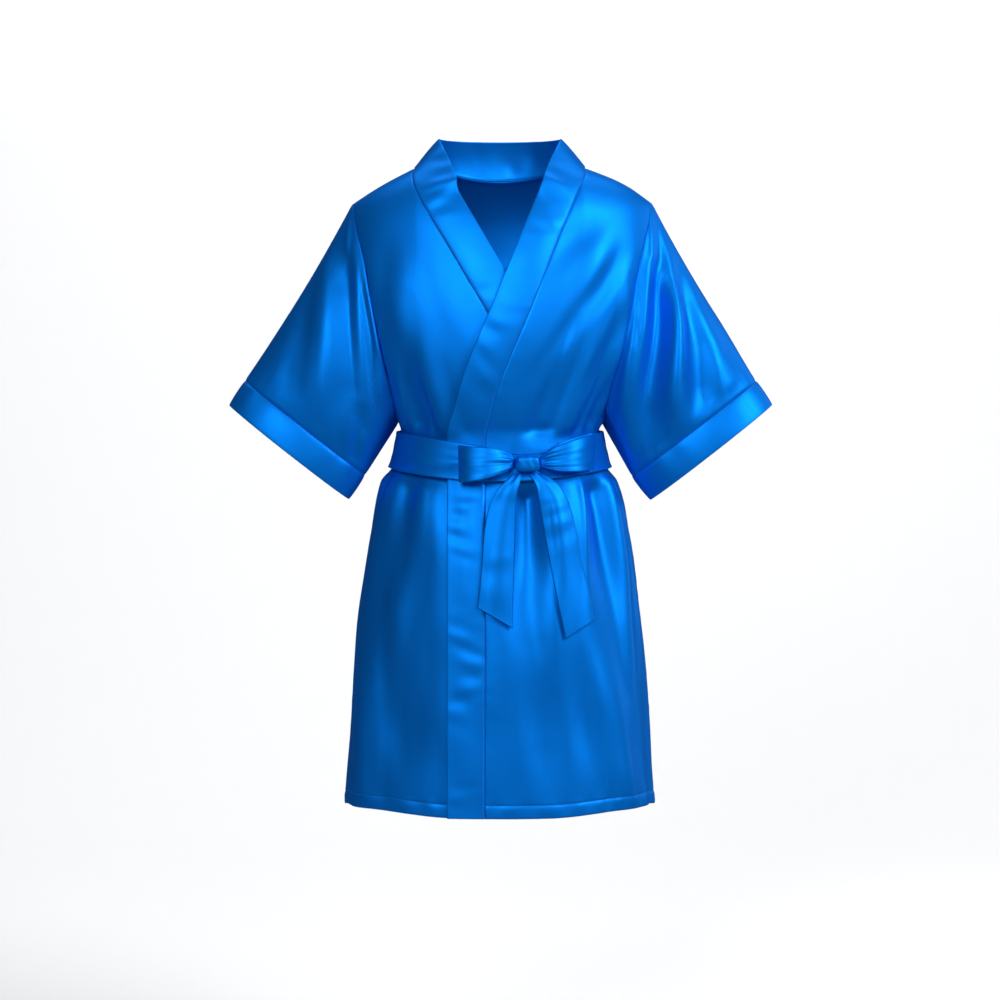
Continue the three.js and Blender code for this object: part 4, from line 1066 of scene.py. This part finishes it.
def closed_knot(name, points, material):
    down, across = points.shape[:2]
    faces = grid_faces(down, across, True).tolist()
    faces.append(list(range(across)))
    faces.append(list(reversed(range((down - 1) * across, down * across))))
    mesh = smooth_mesh(name, (points.reshape(-1, 3) * MM).tolist(), faces)
    layer = mesh.uv_layers.new(name="Cloth")
    for corner in mesh.loops:
        spot = mesh.vertices[corner.vertex_index].co
        layer.data[corner.index].uv = (spot.x, spot.z)
    mesh.materials.append(material)
    made = placed(name, mesh)
    mesh.validate()
    mesh.update()
    return made


cloth_pieces["belt_knot"] = closed_knot("Belt_knot", knot_grid(), band_satin)

# The stitches


def stitch_tree():
    """Small threads laid end to end along a line, as a sewing machine leaves them."""
    tree = bpy.data.node_groups.new("Row of stitches", "GeometryNodeTree")
    tree.interface.new_socket("Line", in_out="INPUT", socket_type="NodeSocketGeometry")
    for label in ("Spacing", "Stitch length", "Thread radius"):
        tree.interface.new_socket(label, in_out="INPUT", socket_type="NodeSocketFloat")
    tree.interface.new_socket("Thread", in_out="INPUT", socket_type="NodeSocketMaterial")
    tree.interface.new_socket("Stitches", in_out="OUTPUT", socket_type="NodeSocketGeometry")
    entry = tree.nodes.new("NodeGroupInput").outputs
    line = tree.nodes.new("GeometryNodeMeshToCurve")
    spaced = tree.nodes.new("GeometryNodeResampleCurve")
    spaced.mode = "LENGTH"
    tangent = tree.nodes.new("GeometryNodeInputTangent")
    turned = tree.nodes.new("FunctionNodeAlignRotationToVector")
    turned.axis = "Z"
    one = tree.nodes.new("GeometryNodeMeshCylinder")
    one.inputs["Vertices"].default_value = 6
    copies = tree.nodes.new("GeometryNodeInstanceOnPoints")
    real = tree.nodes.new("GeometryNodeRealizeInstances")
    finish = tree.nodes.new("GeometryNodeSetMaterial")
    leave = tree.nodes.new("NodeGroupOutput")
    for start, end in (
        (entry["Line"], line.inputs["Mesh"]),
        (line.outputs["Curve"], spaced.inputs["Curve"]),
        (entry["Spacing"], spaced.inputs["Length"]),
        (spaced.outputs["Curve"], copies.inputs["Points"]),
        (tangent.outputs["Tangent"], turned.inputs["Vector"]),
        (turned.outputs["Rotation"], copies.inputs["Rotation"]),
        (entry["Stitch length"], one.inputs["Depth"]),
        (entry["Thread radius"], one.inputs["Radius"]),
        (one.outputs["Mesh"], copies.inputs["Instance"]),
        (copies.outputs["Instances"], real.inputs["Geometry"]),
        (real.outputs["Geometry"], finish.inputs["Geometry"]),
        (entry["Thread"], finish.inputs["Material"]),
        (finish.outputs["Geometry"], leave.inputs["Stitches"]),
    ):
        tree.links.new(start, end)
    return tree


def stitched(name, lines, material):
    """One piece with a row of stitches along each line of points. The thread's sizes are in metres."""
    verts = np.concatenate(lines) * MM
    ends = np.cumsum([len(line) for line in lines])
    edges = [(k, k + 1) for k in range(len(verts) - 1) if k + 1 not in ends]
    mesh = bpy.data.meshes.new(name)
    mesh.from_pydata(verts.tolist(), edges, [])
    made = placed(name, mesh)
    tree = stitch_tree()
    modifier = made.modifiers.new("Stitches", "NODES")
    modifier.node_group = tree
    given = {"Spacing": 0.0034, "Stitch length": 0.0024, "Thread radius": 0.00022, "Thread": material}
    for socket in tree.interface.items_tree:
        if socket.in_out == "INPUT" and socket.name in given:
            modifier[socket.identifier] = given[socket.name]
    seen = made.evaluated_get(bpy.context.evaluated_depsgraph_get())
    whole = bpy.data.meshes.new_from_object(seen)
    made.modifiers.remove(modifier)
    made.data = whole
    return made


def line_on(points, wall, row=None, column=None, round_way=False, flip=False):
    """A line just above a cloth's outer wall, along one row or one column of its grid."""
    points = settle(points)
    facing = normals_of(points, round_way, flip)
    proud = points + facing * (wall / 2 + 0.05)
    if row is None:
        return proud[:, column]
    return np.concatenate([proud[row], proud[row][:1]]) if round_way else proud[row]


def row_above_hem(points, height):
    up = beside(points, 0)[1]
    return int(np.abs(up[:, up.shape[1] // 2] - height).argmin())


def column_at(points, place):
    run = run_of(points, 1)
    return int(np.abs(run[len(run) // 2] - place).argmin())


hem_lines = [line_on(grid, WALL, row=row_above_hem(grid, HEM_TURNED)) for grid in (over, under, behind)]
band_points = band_grid()
band_lines = [line_on(band_points, DOUBLED, column=column_at(band_points, 2.3), flip=True)]
cuff_lines = [
    line_on(cuff_grid(side), DOUBLED, row=2, round_way=True, flip=side > 0) for side in (1, -1)
]
stitches = stitched("Stitches", hem_lines + band_lines + cuff_lines, thread)

flats = {
    "back": ((0.52, 0.86), "hung", 0.38),
    "front_over": ((0.36, 0.87), "hung", 0.19),
    "front_under": ((0.36, 0.87), "hung", 0.19),
    "sleeve_right": ((0.58, 0.30), "hung", 0.091),
    "sleeve_left": ((0.58, 0.30), "hung", 0.091),
    "cuff_right": ((0.48, 0.038), "hung", None),
    "cuff_left": ((0.48, 0.038), "hung", None),
    "neckband": ((2.19, 0.0465), "folded", None),
    "belt_wrap": ((0.74, 0.049), "folded", None),
    "belt_loop_left": ((0.125, 0.049), "folded", None),
    "belt_loop_right": ((0.135, 0.049), "folded", None),
    "belt_tail_left": ((0.18, 0.042), "folded", None),
    "belt_tail_right": ((0.2, 0.043), "folded", None),
}
for node in [*flats, "belt_knot"]:
    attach(cloth_pieces[node], "root")
    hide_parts(node)

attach(stitches, "root")

# The studio


def sweep():
    """A pale floor that curves up into a backdrop."""
    path = [(-6.0, -1.25), (2.2, -1.25)]
    path += [(2.2 + 1.6 * math.sin(a * DEG), 0.35 - 1.6 * math.cos(a * DEG)) for a in range(5, 91, 5)]
    path += [(3.8, 6.0)]
    verts = [(x, y, z) for y, z in path for x in (-7.0, 7.0)]
    faces = [(2 * k, 2 * k + 1, 2 * k + 3, 2 * k + 2) for k in range(len(path) - 1)]
    mesh = smooth_mesh("Backdrop", verts, faces)
    mesh.materials.append(plain("Pale paper", (0.86, 0.86, 0.865), 0.9, 0.2))
    made = placed("Backdrop", mesh)
    made.visible_glossy = False


def aimed(name, data, place, aim):
    made = placed(name, data)
    made.location = place
    made.rotation_euler = (Vector(aim) - Vector(place)).to_track_quat("-Z", "Y").to_euler()
    return made


def area_light(name, place, aim, wide, tall, power):
    data = bpy.data.lights.new(name, "AREA")
    data.shape = "RECTANGLE"
    data.size = wide
    data.size_y = tall
    data.energy = power
    aimed(name, data, place, aim)


def neck_light():
    """A narrow soft beam through the neck's opening, onto the inside of the back."""
    data = bpy.data.lights.new("Neck", "SPOT")
    data.energy = 230
    data.spot_size = math.radians(6)
    data.spot_blend = 1
    data.shadow_soft_size = 0.2
    aimed("Neck", data, (0, -1.9, 0.3), (0, 0.06, -0.045))


sweep()
area_light("Key", (2.6, -2.2, 1.5), (0.05, 0, -0.45), 1.5, 2.0, 108)
area_light("Front", (-1.0, -4.0, 1.25), (0, 0, -0.3), 1.5, 1.3, 72)
area_light("Edge right", (2.0, 0.9, 0.1), (0.1, 0, -0.5), 0.6, 1.8, 8)
neck_light()
area_light("Backdrop light", (0, 1.2, 3.2), (0, 3.6, -0.2), 4.0, 1.2, 95)

bpy.context.scene.view_settings.view_transform = "Standard"
world = bpy.data.worlds.new("Studio")
world.use_nodes = True
sky = world.node_tree
give(sky.nodes["Background"], {"Color": (0.86, 0.93, 1.0, 1)})
rays = sky.nodes.new("ShaderNodeLightPath")
for_camera = math_node(sky, "MULTIPLY", rays.outputs["Is Camera Ray"], 0.8)
world_light = math_node(sky, "ADD", 0.07, for_camera)
sky.links.new(world_light, sky.nodes["Background"].inputs["Strength"])
bpy.context.scene.world = world

view = bpy.data.cameras.new("Camera")
view.lens = 105.7
view.sensor_width = 36
bpy.context.scene.camera = aimed("Camera", view, (0, -3.818, -0.282), (0, 0, -0.4315))
